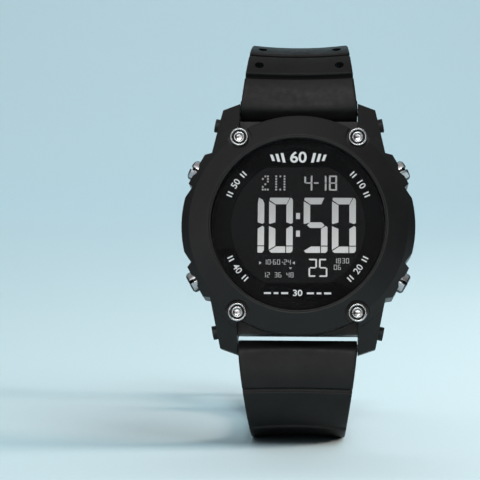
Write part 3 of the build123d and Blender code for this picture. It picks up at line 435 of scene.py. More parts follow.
class Path:
    """A run of straight lines and arcs in the side view, in depth and height."""

    def __init__(self, start, heading, runs):
        self.runs = []
        self.length = 0.0
        point, angle = Vector(start), heading
        for size, radius in runs:
            self.runs.append((self.length, point, angle, radius))
            self.length += size
            point, angle = self.step(point, angle, size, radius)

    @staticmethod
    def heading(angle):
        """The direction of travel at an angle."""
        return Vector((math.cos(angle), math.sin(angle)))

    @staticmethod
    def normal(angle):
        """The direction to the left of travel."""
        return Vector((-math.sin(angle), math.cos(angle)))

    def step(self, point, angle, size, radius):
        """Move on, straight where the radius is zero and clockwise where it is negative."""
        if not radius:
            return point + size * self.heading(angle), angle
        turn = size / radius
        centre = point + radius * self.normal(angle)
        return centre + Matrix.Rotation(turn, 2) @ (point - centre), angle + turn

    def at(self, station):
        """The point and heading angle at a distance along the path."""
        begin, point, angle, radius = [run for run in self.runs if run[0] <= station][-1]
        return self.step(point, angle, station - begin, radius)


# Strap: two moulded halves, each a tube of cross-sections from its knuckle to its end.
# The key 1 stands for the long half at 12 o'clock, -1 for the short half at 6 o'clock.
# First the line of its outer face in the side view, which starts above the lug.
STRAP_FACE = 5.1
STRAP_THICKNESS = 3.0
HEEL_Z = 26.5
SHOULDER = {1: 1.8, -1: 2.5}
BEND_RADIUS = 16.0
TOP_RUN = 12.0
HANG_RADIUS = 33.0
TAIL_RUN = 20.0
LEAN_TURN = math.radians(12.0)
FOOT_RUN = 16.0
LIFT_RADIUS = 36.0
LIFT_TURN = math.radians(18.0)
END_RUN = 16.0
upper_path = Path((STRAP_FACE, HEEL_Z), QUARTER, [
    (SHOULDER[1], 0), (BEND_RADIUS * QUARTER, -BEND_RADIUS), (TOP_RUN, 0),
    (HANG_RADIUS * QUARTER, -HANG_RADIUS), (TAIL_RUN, 0)])
lower_path = Path((STRAP_FACE, -HEEL_Z), -QUARTER, [
    (SHOULDER[-1], 0), (BEND_RADIUS * (QUARTER + LEAN_TURN), BEND_RADIUS), (FOOT_RUN, 0),
    (LIFT_RADIUS * LIFT_TURN, LIFT_RADIUS), (END_RUN, 0)])

# The knuckle round the spring bar and the thick heel above it
KNUCKLE = {1: 2.1, -1: 1.6}
KNUCKLE_BOTTOM = math.radians(292.0)
KNUCKLE_SPLIT = math.radians(12.0)
KNUCKLE_STEPS = 6
HEEL_ROUND = 1.3
HEEL_GAP = 0.5
HEEL_CORNER_STEPS = 5
BLEND_ANGLE = math.radians(19.0)

# Widths, and the ends that they run to
HALF_WIDTH = 12.85
UPPER_HALF_TOP = 10.75
TAIL_HALF = 10.0
TAIL_TAPER = 24.0
TURN_HALF = 10.4
TURN_RUN = 14.0
TURN_POWER = 1.25
TIP_CORNER = 6.0
TIP_BLUNT = 0.05
TIP_ROUND = 0.7
END_STEPS = {1: 6, -1: 8}
END_TURN_SHARE = 0.94
END_SHRINK_SHARE = 0.5

# Cross-sections, with a shallow trough in the outer face
SECTION_STEP = 1.0
TROUGH_DEPTH = 0.6
TROUGH_STEPS = 26
INNER_STEPS = 10
EDGE_RADIUS = 0.4
EDGE_STEPS = 4
EDGE_LIMIT_SHARE = 0.45

# Cross grooves, bores and holes; a hole's profile runs from inside the strap to its worn mouth
GROOVE_DEPTH = {1: 0.95, -1: 0.55}
GROOVE_REACH = {1: 0.8, -1: 0.62}
GROOVE_POWER = 1.3
GROOVE_STEPS = 4
GROOVE_PITCH = 7.1
# How far the painted shade of the grooves reaches along the strap and below their floor
GROOVE_SHADE = 0.5
GROOVE_SHADE_BELOW = 0.1
GROOVE_START = 7.7
GROOVE_COUNT = 13
UPPER_GROOVES = [GROOVE_START + GROOVE_PITCH * index for index in range(GROOVE_COUNT)]
LOWER_GROOVES = [9.2, 20.1]
PIN_BORE = 0.9
BUCKLE_BORE = 0.8
BORE_REACH = 16.0
HOLE_RADIUS = 0.98
HOLE_EDGE = 2.75
HOLE_START = 10.9
HOLE_ROWS = 14
HOLE_PROFILE = [(-4.5, HOLE_RADIUS + 0.2), (-3.1, HOLE_RADIUS + 0.1), (-2.8, HOLE_RADIUS),
                (-0.2, HOLE_RADIUS), (0.1, 1.15), (1.0, 2.0)]
NOTCH_SIDES = (5.6, 15.0)
NOTCH_BACK, NOTCH_FRONT, NOTCH_HALF = -2.8, 4.0, 3.0


def held(share):
    """A share kept from 0 to 1."""
    return min(1, max(0, share))


def upper_half_width(point):
    """Half the long strap's width at a point of its outer line."""
    bend_end = STRAP_FACE + BEND_RADIUS
    if point.x < bend_end:
        share = held((point.y - HEEL_Z) / (SHOULDER[1] + BEND_RADIUS))
        return HALF_WIDTH + (UPPER_HALF_TOP - HALF_WIDTH) * share
    return UPPER_HALF_TOP + (TAIL_HALF - UPPER_HALF_TOP) * held((point.x - bend_end) / TAIL_TAPER)


def lower_half_width(point):
    """Half the short strap's width at a point of its outer line."""
    share = held((-point.y - HEEL_Z) / (SHOULDER[-1] + BEND_RADIUS))
    width = HALF_WIDTH + (TURN_HALF - HALF_WIDTH) * share ** TURN_POWER
    along = (point.x - STRAP_FACE - BEND_RADIUS) / TURN_RUN
    return width + (TAIL_HALF - TURN_HALF) * held(along)


def heel_sections(end):
    """Outer and inner points from the bottom of the knuckle to the start of the outer face."""
    radius = KNUCKLE[end]

    def bar(angle):
        return Vector((BAR_DEPTH, end * BAR_Z)) + radius * Vector(
            (math.cos(angle), end * math.sin(angle)))

    corner = Vector((STRAP_FACE, end * HEEL_Z))
    away = Vector((STRAP_FACE - BAR_DEPTH, HEEL_Z - BAR_Z))
    tangent_angle = math.atan2(away.y, away.x) + math.acos(radius / away.length)
    tangent = bar(tangent_angle)
    leave = corner + (tangent - corner).normalized() * HEEL_ROUND
    rejoin = Vector((STRAP_FACE, end * (HEEL_Z + HEEL_ROUND)))
    low, high = KNUCKLE_BOTTOM - KNUCKLE_SPLIT, KNUCKLE_BOTTOM + KNUCKLE_SPLIT
    outer = [bar(low + (tangent_angle - low) * i / KNUCKLE_STEPS) for i in range(KNUCKLE_STEPS + 1)]
    outer += [tangent.lerp(leave, 0.5), leave]
    for i in range(1, HEEL_CORNER_STEPS + 1):
        share = i / HEEL_CORNER_STEPS
        outer.append(leave.lerp(corner, share).lerp(corner.lerp(rejoin, share), share))
    steps = len(outer) - 1
    inner = [bar(high + (FULL - high) * i / steps) for i in range(steps + 1)]
    return list(zip(outer, inner))


def inner_point(path, station, end):
    """The inner face opposite an outer station, with the thick heel near the lug."""
    blend_end = SHOULDER[end] + BEND_RADIUS * BLEND_ANGLE
    outer, angle = path.at(max(station, blend_end))
    regular = outer - end * path.normal(angle) * STRAP_THICKNESS
    if station >= blend_end:
        return regular
    knuckle_back = Vector((BAR_DEPTH + KNUCKLE[end], end * BAR_Z))
    return knuckle_back.lerp(regular, (station - HEEL_ROUND) / (blend_end - HEEL_ROUND))


def stations(path, start, grooves, reach):
    """Distances along a path: even steps, closer together across each groove."""
    steps = int((path.length - start) / SECTION_STEP) + 1
    values = {round(start + step * SECTION_STEP, 3) for step in range(steps)}
    values = {value for value in values if all(abs(value - groove) > reach for groove in grooves)}
    for groove in grooves:
        for step in range(-GROOVE_STEPS, GROOVE_STEPS + 1):
            values.add(round(groove + reach * step / GROOVE_STEPS, 3))
    return sorted(value for value in values if start <= value <= path.length)


def groove_depth(station, grooves, end):
    """How far the outer face is sunk by a groove at a station."""
    shares = [held(abs(station - groove) / GROOVE_REACH[end]) for groove in grooves]
    return GROOVE_DEPTH[end] * (1 - min(shares) ** 2) ** GROOVE_POWER


def section_loop(outer, inner, half_width, sink, trough):
    """One cross-section: the sunk trough, a rounded edge, the inner face and the other edge."""
    thickness = (inner - outer).length
    edge = min(EDGE_RADIUS, EDGE_LIMIT_SHARE * thickness)
    flat = half_width - edge
    front, back = sink + edge, thickness - edge
    shares = [2 * i / TROUGH_STEPS - 1 for i in range(TROUGH_STEPS + 1)]
    points = [(flat * share, sink + trough * (1 - share ** 2)) for share in shares]
    points += arc(flat, front, edge, -QUARTER, EDGE_STEPS)[1:]
    points += arc(flat, back, edge, 0, EDGE_STEPS)
    points += [(flat * (1 - 2 * i / INNER_STEPS), thickness) for i in range(1, INNER_STEPS)]
    points += arc(-flat, back, edge, QUARTER, EDGE_STEPS)
    points += arc(-flat, front, edge, 2 * QUARTER, EDGE_STEPS)[:-1]
    unit = (inner - outer) / thickness
    return [(x, *(outer + unit * depth)) for x, depth in points]


def strap_sections(path, end, half_width, grooves, tip=False):
    """All the cross-sections of one strap half up to its end."""
    loops = []
    heel = heel_sections(end)
    corner_start = len(heel) - 1 - HEEL_CORNER_STEPS
    for index, (outer, inner) in enumerate(heel):
        rise = held((index - corner_start) / HEEL_CORNER_STEPS)
        loops.append(section_loop(outer, inner, HALF_WIDTH, 0, TROUGH_DEPTH * rise))
    for station in stations(path, HEEL_ROUND + HEEL_GAP, grooves, GROOVE_REACH[end]):
        outer, _ = path.at(station)
        inner = inner_point(path, station, end)
        width = half_width(outer)
        left = path.length - station
        if tip and left < TIP_CORNER:
            width -= TIP_CORNER - math.sqrt(TIP_CORNER ** 2 - (TIP_CORNER - left) ** 2)
        sink = groove_depth(station, grooves, end)
        loops.append(section_loop(outer, inner, width, sink, TROUGH_DEPTH))
    return loops


def end_sections(path, end, half_width, radius):
    """Closing cross-sections that round a strap half's end in the side view."""
    outer, angle = path.at(path.length)
    along = path.heading(angle)
    inward = -end * path.normal(angle)
    middle = outer + inward * STRAP_THICKNESS / 2
    loops = []
    for i in range(1, END_STEPS[end] + 1):
        share = i / END_STEPS[end]
        turn = QUARTER * min(share, END_TURN_SHARE)
        reach = STRAP_THICKNESS / 2 - radius * (1 - math.cos(turn))
        centre = middle + along * radius * math.sin(turn)
        shrink = radius * (1 - math.cos(turn)) * END_SHRINK_SHARE
        loops.append(section_loop(centre - inward * reach, centre + inward * reach,
                                  half_width - shrink, 0, TROUGH_DEPTH * (1 - share)))
    return loops


def bore(path_point, radius):
    """A round cutter across the strap through a point of the side view."""
    origin = Vector((-BORE_REACH, *path_point))
    return turned([(0, radius), (2 * BORE_REACH, radius)], origin, RIGHT, DEPTH)


def paint_groove_shade(piece):
    """Paint shade into the long half's grooves and their sunk walls: their faces take its second finish, a
    near-black.
    """
    frames = []
    for groove in UPPER_GROOVES:
        outer, angle = upper_path.at(groove)
        frames.append((outer, Path.heading(angle), -Path.normal(angle), upper_half_width(outer)))
    for polygon in piece.data.polygons:
        spot = TO_WATCH @ polygon.center / MM
        for outer, along, inward, half in frames:
            away = Vector((spot.y, spot.z)) - outer
            trough = TROUGH_DEPTH * held(1 - (spot.x / half) ** 2)
            floor = GROOVE_DEPTH[1] + trough + GROOVE_SHADE_BELOW
            if abs(away.dot(along)) < GROOVE_SHADE and away.dot(inward) < floor:
                polygon.material_index = SECOND_FINISH
                break


def upper_strap():
    """The long half, with its paired holes, cross grooves and rounded tip."""
    loops = strap_sections(upper_path, 1, upper_half_width, UPPER_GROOVES, tip=True)
    loops += end_sections(upper_path, 1, TAIL_HALF - TIP_CORNER + TIP_BLUNT, TIP_ROUND)
    # Its second finish, black_print, is painted shade in the grooves
    piece = watch_mesh("long_strap_moulding", *tube(loops, flip=True), "long_strap",
                       "strap_resin", "black_print")
    paint_groove_shade(piece)
    solids = [bore((BAR_DEPTH, BAR_Z), PIN_BORE)]
    for row in range(HOLE_ROWS):
        outer, angle = upper_path.at(HOLE_START + row * GROOVE_PITCH)
        outward = Vector((0, *upper_path.normal(angle)))
        for side in (1, -1):
            mouth = Vector((side * (upper_half_width(outer) - HOLE_EDGE), *outer))
            solids.append(turned(HOLE_PROFILE, mouth, outward, RIGHT))
    # The holes and the bar bore are lined with black_print: painted shade
    cut_away(piece, cutter("strap_holes", *join_solids(solids)), "black_print")
    soften(piece)
    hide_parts("strap_upper")


def lower_strap():
    """The short half, which ends in the knuckle round the buckle bar."""
    loops = strap_sections(lower_path, -1, lower_half_width, LOWER_GROOVES)
    loops += end_sections(lower_path, -1, TAIL_HALF, STRAP_THICKNESS / 2)
    piece = watch_mesh("short_strap_moulding", *tube(loops), "short_strap", "strap_resin")
    outer, angle = lower_path.at(lower_path.length)
    along, inward = lower_path.heading(angle), lower_path.normal(angle)
    pivot = outer + inward * STRAP_THICKNESS / 2
    solids = [bore((BAR_DEPTH, -BAR_Z), PIN_BORE), bore(pivot, BUCKLE_BORE)]
    for side in (1, -1):
        solids.append(box(Vector((0, *pivot)), (Vector((0, *along)), NOTCH_BACK, NOTCH_FRONT),
                          (Vector((0, *inward)), -NOTCH_HALF, NOTCH_HALF),
                          (RIGHT * side, *NOTCH_SIDES)))
    for solid in solids:
        cut_away(piece, cutter("strap_cut", *solid))
    soften(piece)
    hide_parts("strap_lower")


# Keeper: a moulded loop round the short strap, with rounded walls
KEEPER_BACK = 8.0
KEEPER_HALF = 10.9
KEEPER_RISE = 4.05
KEEPER_CENTRE = 1.65
KEEPER_CORNER = 1.1
KEEPER_WALL = 0.7
KEEPER_LENGTH = 2.5
KEEPER_ROUND = 0.45
KEEPER_STEPS = 6
WALL_STEPS = 4


def rounded_box(half_x, half_y, corner, steps):
    """Points and outward directions round a rounded rectangle."""
    ring = []
    for index, (side_x, side_y) in enumerate(CORNERS):
        for out in arc(0, 0, 1, QUARTER * index, steps):
            ring.append((side_x * (half_x - corner) + corner * out[0],
                         side_y * (half_y - corner) + corner * out[1], *out))
    return ring


def keeper():
    """The keeper in its resting place on the short strap."""
    outer, angle = lower_path.at(lower_path.length - KEEPER_BACK)
    along, inward = lower_path.heading(angle), lower_path.normal(angle)
    middle = outer + inward * (STRAP_THICKNESS / 2 + KEEPER_CENTRE)
    ring = rounded_box(KEEPER_HALF, KEEPER_RISE, KEEPER_CORNER, KEEPER_STEPS)
    wall_ring = rounded_box(KEEPER_WALL, KEEPER_LENGTH, KEEPER_ROUND, WALL_STEPS)
    loops = []
    for x, rise, out_x, out_rise in ring:
        loop = []
        for wall, reach, _, _ in wall_ring:
            spot = middle + inward * (rise + out_rise * wall) + along * reach
            loop.append((x + out_x * wall, *spot))
        loops.append(loop)
    piece = watch_mesh("keeper_loop", *closed_sweep(loops), "keeper", "strap_resin")
    soften(piece, crease=45.0)
    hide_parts("strap_keeper")


upper_strap()
lower_strap()
keeper()


# Front screws and the bezel's lip, as distances behind the dial's plane and radii
SCREW_X = 12.83
SCREW_Z = 19.07
SCREW_SIDES = 48
SCREW_PROFILE = [
    (1.72, 0.42), (1.66, 0.66), (1.2, 0.74), (1.02, 0.8), (0.97, 0.9), (0.96, 1.04), (1.0, 1.16),
    (1.08, 1.22), (1.36, 1.24), (1.44, 1.3), (1.44, 1.44), (1.36, 1.5), (1.02, 1.52), (0.9, 1.57),
    (0.84, 1.68), (0.83, 1.78), (0.87, 1.89), (0.95, 1.97), (1.08, 2.0), (2.3, 2.0), (2.3, 0.9),
    (8.4, 0.9), (8.6, 0.7)]
SOCKET_RINGS = 3
# Rings of faces in each screw's sunk groove that take painted shade
PAINTED_SHADE_RINGS = range(7, 12)
LIP_SIDES = 240
LIP_PROFILE = [
    (0.5, 18.62), (0.16, 18.66), (0.02, 18.74), (-0.05, 18.86), (-0.05, 18.98), (0.0, 19.08),
    (0.1, 19.12), (0.5, 19.12)]


def hexagon(angle):
    """How far a hexagon of unit flats reaches at an angle."""
    sector = math.pi / 3
    return 1 / math.cos((angle + sector / 2) % sector - sector / 2)


def front_screws():
    """Four steel screws: a rounded rim, a sunk ring darkened by painted shade, a dome and a hexagon socket."""
    solids = []
    for x, z in CORNERS:
        origin = Vector((x * SCREW_X, 0, z * SCREW_Z))
        vertices, faces = turned(SCREW_PROFILE, origin, DEPTH, RIGHT, SCREW_SIDES)
        for index in range(SOCKET_RINGS * SCREW_SIDES):
            away = vertices[index] - origin
            reach = hexagon(FULL * (index % SCREW_SIDES) / SCREW_SIDES)
            vertices[index] = origin + Vector((away.x * reach, away.y, away.z * reach))
        solids.append((vertices, faces))
    piece = watch_mesh("front_screw_heads", *join_solids(solids), "case", "bright_steel",
                       "black_screw")
    per_screw = len(piece.data.polygons) // len(solids)
    # The sunk ring takes black_screw as painted shade
    for polygon in piece.data.polygons:
        if polygon.index % per_screw // SCREW_SIDES in PAINTED_SHADE_RINGS:
            polygon.material_index = SECOND_FINISH
    soften(piece, crease=50.0)
    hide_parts("bezel_screws")


def bezel_lip():
    """The fine raised lip round the crystal."""
    loops = []
    for i in range(LIP_SIDES):
        angle = -FULL * i / LIP_SIDES
        loops.append([(radius * math.cos(angle), depth, radius * math.sin(angle))
                      for depth, radius in LIP_PROFILE])
    piece = watch_mesh("bezel_lip", *closed_sweep(loops), "case", "case_resin")
    soften(piece, crease=50.0)


# Push buttons: slotted heads on stems, and the coils behind them
BUTTON_ANGLES = {"start": 28.5, "light": 151.5, "mode": 208.5, "reset": -28.5}
BUTTON_DEPTH = 4.95
HEAD_FACE = 26.65
STEM_END = 17.0
HEAD_SIDES = 48
HEAD_PROFILE = [
    (0.0, 1.55), (0.06, 1.8), (0.18, 2.0), (0.36, 2.14), (0.6, 2.25), (1.98, 2.25), (2.0, 2.2),
    (2.0, 0.75), (HEAD_FACE - STEM_END, 0.75)]
SLOT_HALF = 0.36
SLOT_DEPTH = 1.1
SLOT_WALL = 1.4
SLOT_OVERRUN = 1.0
SLOT_OPEN = 3.0
SLOT_TOP = 0.05
RIM_DEPTH = 0.3
FLANK = 1.9
PAINT_MARGIN = 0.02
SPRING_BASE = 22.55
SPRING_LENGTH = 2.1
SPRING_RADIUS = 1.7
SPRING_WIRE = 0.12
SPRING_GAP = 0.05
SPRING_TURNS = 3.5
SPRING_STEPS = 112
SPRING_SIDES = 8


def button_axis(degrees):
    """A button's outward direction and the direction across it, in the dial's plane."""
    angle = math.radians(degrees)
    axis = Vector((math.cos(angle), 0, math.sin(angle)))
    return axis, axis.cross(DEPTH)


def paint_head_shade(piece, face, axis, across):
    """Paint shade on a button head: its rim and flanks take a darker copy of its steel, and its slot a near-black
    lining.
    """
    for polygon in piece.data.polygons:
        away = TO_WATCH @ polygon.center / MM - face
        deep, aside = -away.dot(axis), abs(away.dot(across))
        if aside < SLOT_HALF + PAINT_MARGIN and deep > SLOT_TOP:
            polygon.material_index = THIRD_FINISH
        elif PAINT_MARGIN < deep < RIM_DEPTH or aside > FLANK:
            polygon.material_index = SECOND_FINISH


def button_heads():
    """Four slotted push buttons with rounded rims."""
    for name, degrees in BUTTON_ANGLES.items():
        axis, across = button_axis(degrees)
        face = axis * HEAD_FACE + DEPTH * BUTTON_DEPTH
        solid = turned(HEAD_PROFILE, face, -axis, DEPTH, HEAD_SIDES)
        piece = watch_mesh(f"{name}_button_head", *solid, f"{name}_button", "button_steel",
                           "dark_steel", "black_screw")
        slot = box(face, (axis, -SLOT_DEPTH, SLOT_OVERRUN), (across, -SLOT_HALF, SLOT_HALF),
                   (DEPTH, -SLOT_OPEN, SLOT_WALL))
        cut_away(piece, cutter(f"{name}_slot", *slot))
        # Painted shade: darker steel on the rim and flanks, black in the slot
        paint_head_shade(piece, face, axis, across)
        soften(piece, crease=35.0)
        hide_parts(f"button_{name}")


def return_springs():
    """Four coils behind the button heads."""
    margin = SPRING_WIRE + SPRING_GAP
    ring = [FULL * i / SPRING_SIDES for i in range(SPRING_SIDES)]
    for name, degrees in BUTTON_ANGLES.items():
        axis, across = button_axis(degrees)
        base = axis * SPRING_BASE + DEPTH * BUTTON_DEPTH
        loops = []
        for step in range(SPRING_STEPS + 1):
            share = step / SPRING_STEPS
            turn = FULL * SPRING_TURNS * share
            out = DEPTH * math.cos(turn) + across * math.sin(turn)
            rise = margin + (SPRING_LENGTH - 2 * margin) * share
            centre = base + out * SPRING_RADIUS + axis * rise
            loops.append([centre + SPRING_WIRE * (out * math.cos(angle) + axis * math.sin(angle))
                          for angle in ring])
        piece = watch_mesh(f"{name}_return_coil", *tube(loops, flip=True), "case",
                           "contact_brass")
        piece.data.shade_smooth()
        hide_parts(f"spring_{name}")
        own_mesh(piece)


front_screws()
bezel_lip()
button_heads()
return_springs()


# Display: seven-segment characters in a cell one unit wide and one unit high, from its lower left.
# The letters are the usual ones, with k for the foot of c, and s for b in a lone 1.
BAR = 0.27
RISE = 0.118
SEGMENTS = {
    "a": [(0.04, 1.0), (0.86, 1.0), (0.735, 1 - RISE), (BAR, 1 - RISE), (0.02, 0.96)],
    "b": [(0.9, 1.0), (0.955, 0.99), (0.99, 0.97), (1.0, 0.93), (1.0, 0.545), (0.93, 0.525),
          (1 - BAR, 0.553), (1 - BAR, 0.862)],
    "c": [(0.93, 0.487), (1.0, 0.465), (1.0, 0.132), (1 - BAR, 0.132), (1 - BAR, 0.435)],
    "k": [(1.0, 0.114), (1.0, 0.05), (0.97, 0.02), (0.91, 0.0), (1 - BAR, 0.0), (1 - BAR, 0.114)],
    "d": [(0.69, 0.114), (0.69, 0.0), (0.1, 0.0), (0.015, 0.035), (0.31, 0.114)],
    "e": [(0.0, 0.482), (BAR, 0.435), (BAR, 0.125), (0.0, 0.055)],
    "f": [(0.0, 0.935), (BAR, 0.865), (BAR, 0.553), (0.03, 0.523), (0.0, 0.535)],
    "g": [(0.14, 0.5), (0.26, 0.553), (0.75, 0.553), (0.87, 0.5), (0.76, 0.452), (0.27, 0.452)],
    "s": [(0.77, 1.0), (0.93, 0.965), (1.0, 0.9), (1.0, 0.545), (0.93, 0.525),
          (1 - BAR, 0.553), (1 - BAR, 0.9)],
}
LIT = {"0": "abckdef", "1": "sck", "2": "abged", "3": "abgckd", "4": "fgbck", "5": "afgckd",
       "6": "afgckde", "8": "abgckdef"}
LCD_FRONT = 2.67
LCD_SINK = 0.06

# Where a point of a segment lies: between the uprights, or at a level bar's inner edge
BETWEEN = (0.2, 0.8)
TOP_INNER, MIDDLE_INNER, FOOT_INNER = (0.8, 0.9), (0.42, 0.58), (0.1, 0.14)

# Each row of characters: lower edge, cell width and height, and how much of a bar's width it keeps
BIG_ROW = (-6.05, 5.13, 12.0, 1.0)
DATE_ROW = (7.55, 1.75, 3.3, 0.78)
SECONDS_ROW = (-11.25, 1.8, 3.9, 0.7)
SMALL_PITCH, SMALL_SIZE = 0.86, (0.64, 1.08, 0.8)

# Each character or number with its left edge, and each small number with its lower edge too
HOURS = (("1", -12.43), ("0", -6.25))
MINUTES = (("5", 1.24), ("0", 7.33))
DATE = (("4", 1.33), ("1", 4.38), ("8", 6.65))
SECONDS = (("2", 2.33), ("5", 4.57))
SMALL_NUMBERS = (
    ("10", -7.35, -8.62), ("60", -5.3, -8.62), ("24", -3.0, -8.62), ("12", -7.5, -11.4),
    ("36", -5.0, -11.4), ("48", -2.4, -11.4), ("18", 7.75, -8.3), ("30", 9.5, -8.3),
    ("06", 7.75, -9.72))

# Plain blocks, each by its lower left corner and its size, and small arrows by their points
COLON_BLOCKS = ((-0.41, 1.3, 0.84, 1.32), (-0.41, -2.55, 0.84, 1.32))
DATE_DASH = (3.4, 9.06, 1.0, 0.3)
SMALL_BLOCKS = ((-5.65, -8.2, 0.18, 0.18), (-3.4, -8.2, 0.18, 0.18))
ARROWS = (((-8.3, -8.62), (-8.3, -7.9), (-7.78, -8.26)),
          ((-0.62, -8.62), (-0.62, -7.9), (-1.14, -8.26)),
          ((-1.9, -9.25), (-1.2, -9.25), (-1.55, -9.65)))

# The two dotted characters: rows from the top, left edge and the step between columns
DOTTED = (((".##", "#.#", "..#", ".#.", "#..", "###"), -7.85, 0.55),
          (("#.#.#", "#...#", "#...#", "#...#", "#...#", "#.#.#"), -4.95, 0.45))
DOT_BASE, DOT_STEP, DOT_SIZE = 7.58, 0.58, 0.36


def plate(outline, front=LCD_FRONT, depth=LCD_SINK):
    """A thin flat plate from an outline seen from the front."""
    count = len(outline)
    area = sum(outline[i - 1][0] * outline[i][1] - outline[i][0] * outline[i - 1][1]
               for i in range(count))
    ring = outline if area > 0 else outline[::-1]
    vertices = [(x, front, z) for x, z in ring] + [(x, front + depth, z) for x, z in ring]
    faces = [tuple(range(count)), tuple(reversed(range(count, 2 * count)))]
    faces += [(i, i + count, (i + 1) % count + count, (i + 1) % count) for i in range(count)]
    return vertices, faces


def thinned(point, share):
    """Draw a point of a character's inner edge towards its outer edge."""
    x, z = point
    if BETWEEN[0] < x < BETWEEN[1]:
        x = BAR * share if x < 0.5 else 1 - BAR * share
    if TOP_INNER[0] < z < TOP_INNER[1]:
        z = 1 - RISE * share
    elif FOOT_INNER[0] < z < FOOT_INNER[1]:
        z = RISE * share
    elif MIDDLE_INNER[0] < z < MIDDLE_INNER[1]:
        z = 0.5 + (z - 0.5) * share
    return x, z


def cell(character, left, base, width, height, share):
    """The lit plates of one character, its bars thinned to a share of their width."""
    solids = []
    for name in LIT[character]:
        points = SEGMENTS[name]
        if share < 1:
            points = [thinned(point, share) for point in points]
        outline = [(left + x * width, base + z * height) for x, z in points]
        solids.append(plate(outline))
    return solids


def cells(characters, row):
    """A row of characters."""
    return [solid for mark, left in characters for solid in cell(mark, left, *row)]


def block(left, base, width, height):
    """A rectangular plate of the display."""
    right, top = left + width, base + height
    return plate([(left, base), (right, base), (right, top), (left, top)])


def dots(rows, left, step):
    """A dot-matrix character, its rows given from the top."""
    top = DOT_BASE + (len(rows) - 1) * DOT_STEP
    return [block(left + column * step, top - line * DOT_STEP, DOT_SIZE, DOT_SIZE)
            for line, row in enumerate(rows) for column, mark in enumerate(row) if mark == "#"]


def lcd_piece(name, solids, node=None, finish="lcd_light"):
    """One display piece made of plates, in place of a CAD node or as an addition."""
    piece = watch_mesh(name, *join_solids(solids), "case", finish)
    if node:
        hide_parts(node)


def display_characters():
    """Everything the display shows."""
    lcd_piece("hours_lit", cells(HOURS, BIG_ROW), "hour_digits")
    lcd_piece("minutes_lit", cells(MINUTES, BIG_ROW), "minute_digits")
    lcd_piece("colon_lit", [block(*place) for place in COLON_BLOCKS], "lcd_colon")
    date = cells(DATE, DATE_ROW) + [block(*DATE_DASH)]
    for rows, left, step in DOTTED:
        date += dots(rows, left, step)
    lcd_piece("date_lit", date, "date_digits")
    lcd_piece("seconds_lit", cells(SECONDS, SECONDS_ROW), "seconds_digits")
    small = []
    for text, left, base in SMALL_NUMBERS:
        for index, mark in enumerate(text):
            small += cell(mark, left + index * SMALL_PITCH, base, *SMALL_SIZE)
    small += [block(*place) for place in SMALL_BLOCKS]
    small += [plate(points) for points in ARROWS]
    lcd_piece("small_marks_lit", small, finish="lcd_faint")


# Dial print: plain numbers, bars and ticks
PRINT_FRONT = 2.37
PRINT_DEPTH = 0.06
TOP_Z = 14.7
TOP_BARS, TOP_BAR_START, TOP_BAR_PITCH, TOP_BAR_WIDTH = 3, 3.3, 1.15, 0.62
TOP_BAR_HEIGHT, TOP_BAR_FALL, TOP_BAR_SLANT = 2.1, 0.35, 0.5
FOOT_Z = -14.85
FOOT_BAR_START, FOOT_BAR_PITCH = 2.75, 1.85
FOOT_BAR_WIDTHS, FOOT_BAR_HEIGHT = (1.5, 1.0, 1.5), 0.42
RIM_RADIUS = 16.2
TICK_OFFSETS = (-10.5, -8.0, 8.0, 10.5)
TICK_WIDTH, TICK_HEIGHT = 0.3, 1.25

# Sizes of the printed numbers, each with its added weight and its widening
TOP_TYPE, FOOT_TYPE, RIM_TYPE = (3.3, 0.07, 1.12), (1.85, 0.04, 1.15), (2.0, 0.02, 1.05)

# The numbers round the rim, each with its angle and whether its foot points in (-1) or out (1)
RIM_NUMBERS = {"50": (146.5, -1), "10": (33.5, -1), "40": (216.5, 1), "20": (-36.5, 1)}


def number_mesh(text, size, bold):
    """Flat solid digits from the built-in font, centred on zero, as a mesh."""
    curve = bpy.data.curves.new("number", "FONT")
    curve.body = text
    curve.size = size
    curve.align_x = curve.align_y = "CENTER"
    curve.offset = bold
    curve.extrude = PRINT_DEPTH / 2
    holder = new_object("number", curve)
    mesh = final_mesh(holder)
    bpy.data.objects.remove(holder)
    bpy.data.curves.remove(curve)
    return mesh


def on_dial(x, z, across, rise, turn):
    """A point of the dial's plane, given from a turned centre."""
    return (x + across * math.cos(turn) - rise * math.sin(turn),
            z + across * math.sin(turn) + rise * math.cos(turn))


def print_number(text, x, z, style, turn=0.0):
    """Digits printed on the dial: vertices and faces."""
    size, bold, stretch = style
    mesh = number_mesh(text, size, bold)
    vertices = []
    for vertex in mesh.vertices:
        spot_x, spot_z = on_dial(x, z, vertex.co.x * stretch, vertex.co.y, turn)
        vertices.append((spot_x, PRINT_FRONT + PRINT_DEPTH / 2 - vertex.co.z, spot_z))
    faces = [tuple(polygon.vertices) for polygon in mesh.polygons]
    bpy.data.meshes.remove(mesh)
    return vertices, faces


def print_bar(x, z, width, height, turn=0.0, slant=0.0):
    """A printed bar, centred on a point, turned and slanted."""
    corners = [on_dial(x, z, (a * width + b * slant) / 2, b * height / 2, turn)
               for a, b in CORNERS]
    return plate(corners, PRINT_FRONT, PRINT_DEPTH)


def rim_print(text, degrees, facing):
    """A number on the rim, with two ticks on each side."""
    angle = math.radians(degrees)
    centre = on_dial(0, 0, RIM_RADIUS, 0, angle)
    solids = [print_number(text, *centre, RIM_TYPE, angle + facing * QUARTER)]
    for offset in TICK_OFFSETS:
        turn = angle + math.radians(offset)
        centre = on_dial(0, 0, RIM_RADIUS, 0, turn)
        solids.append(print_bar(*centre, TICK_WIDTH, TICK_HEIGHT, turn - QUARTER))
    return solids


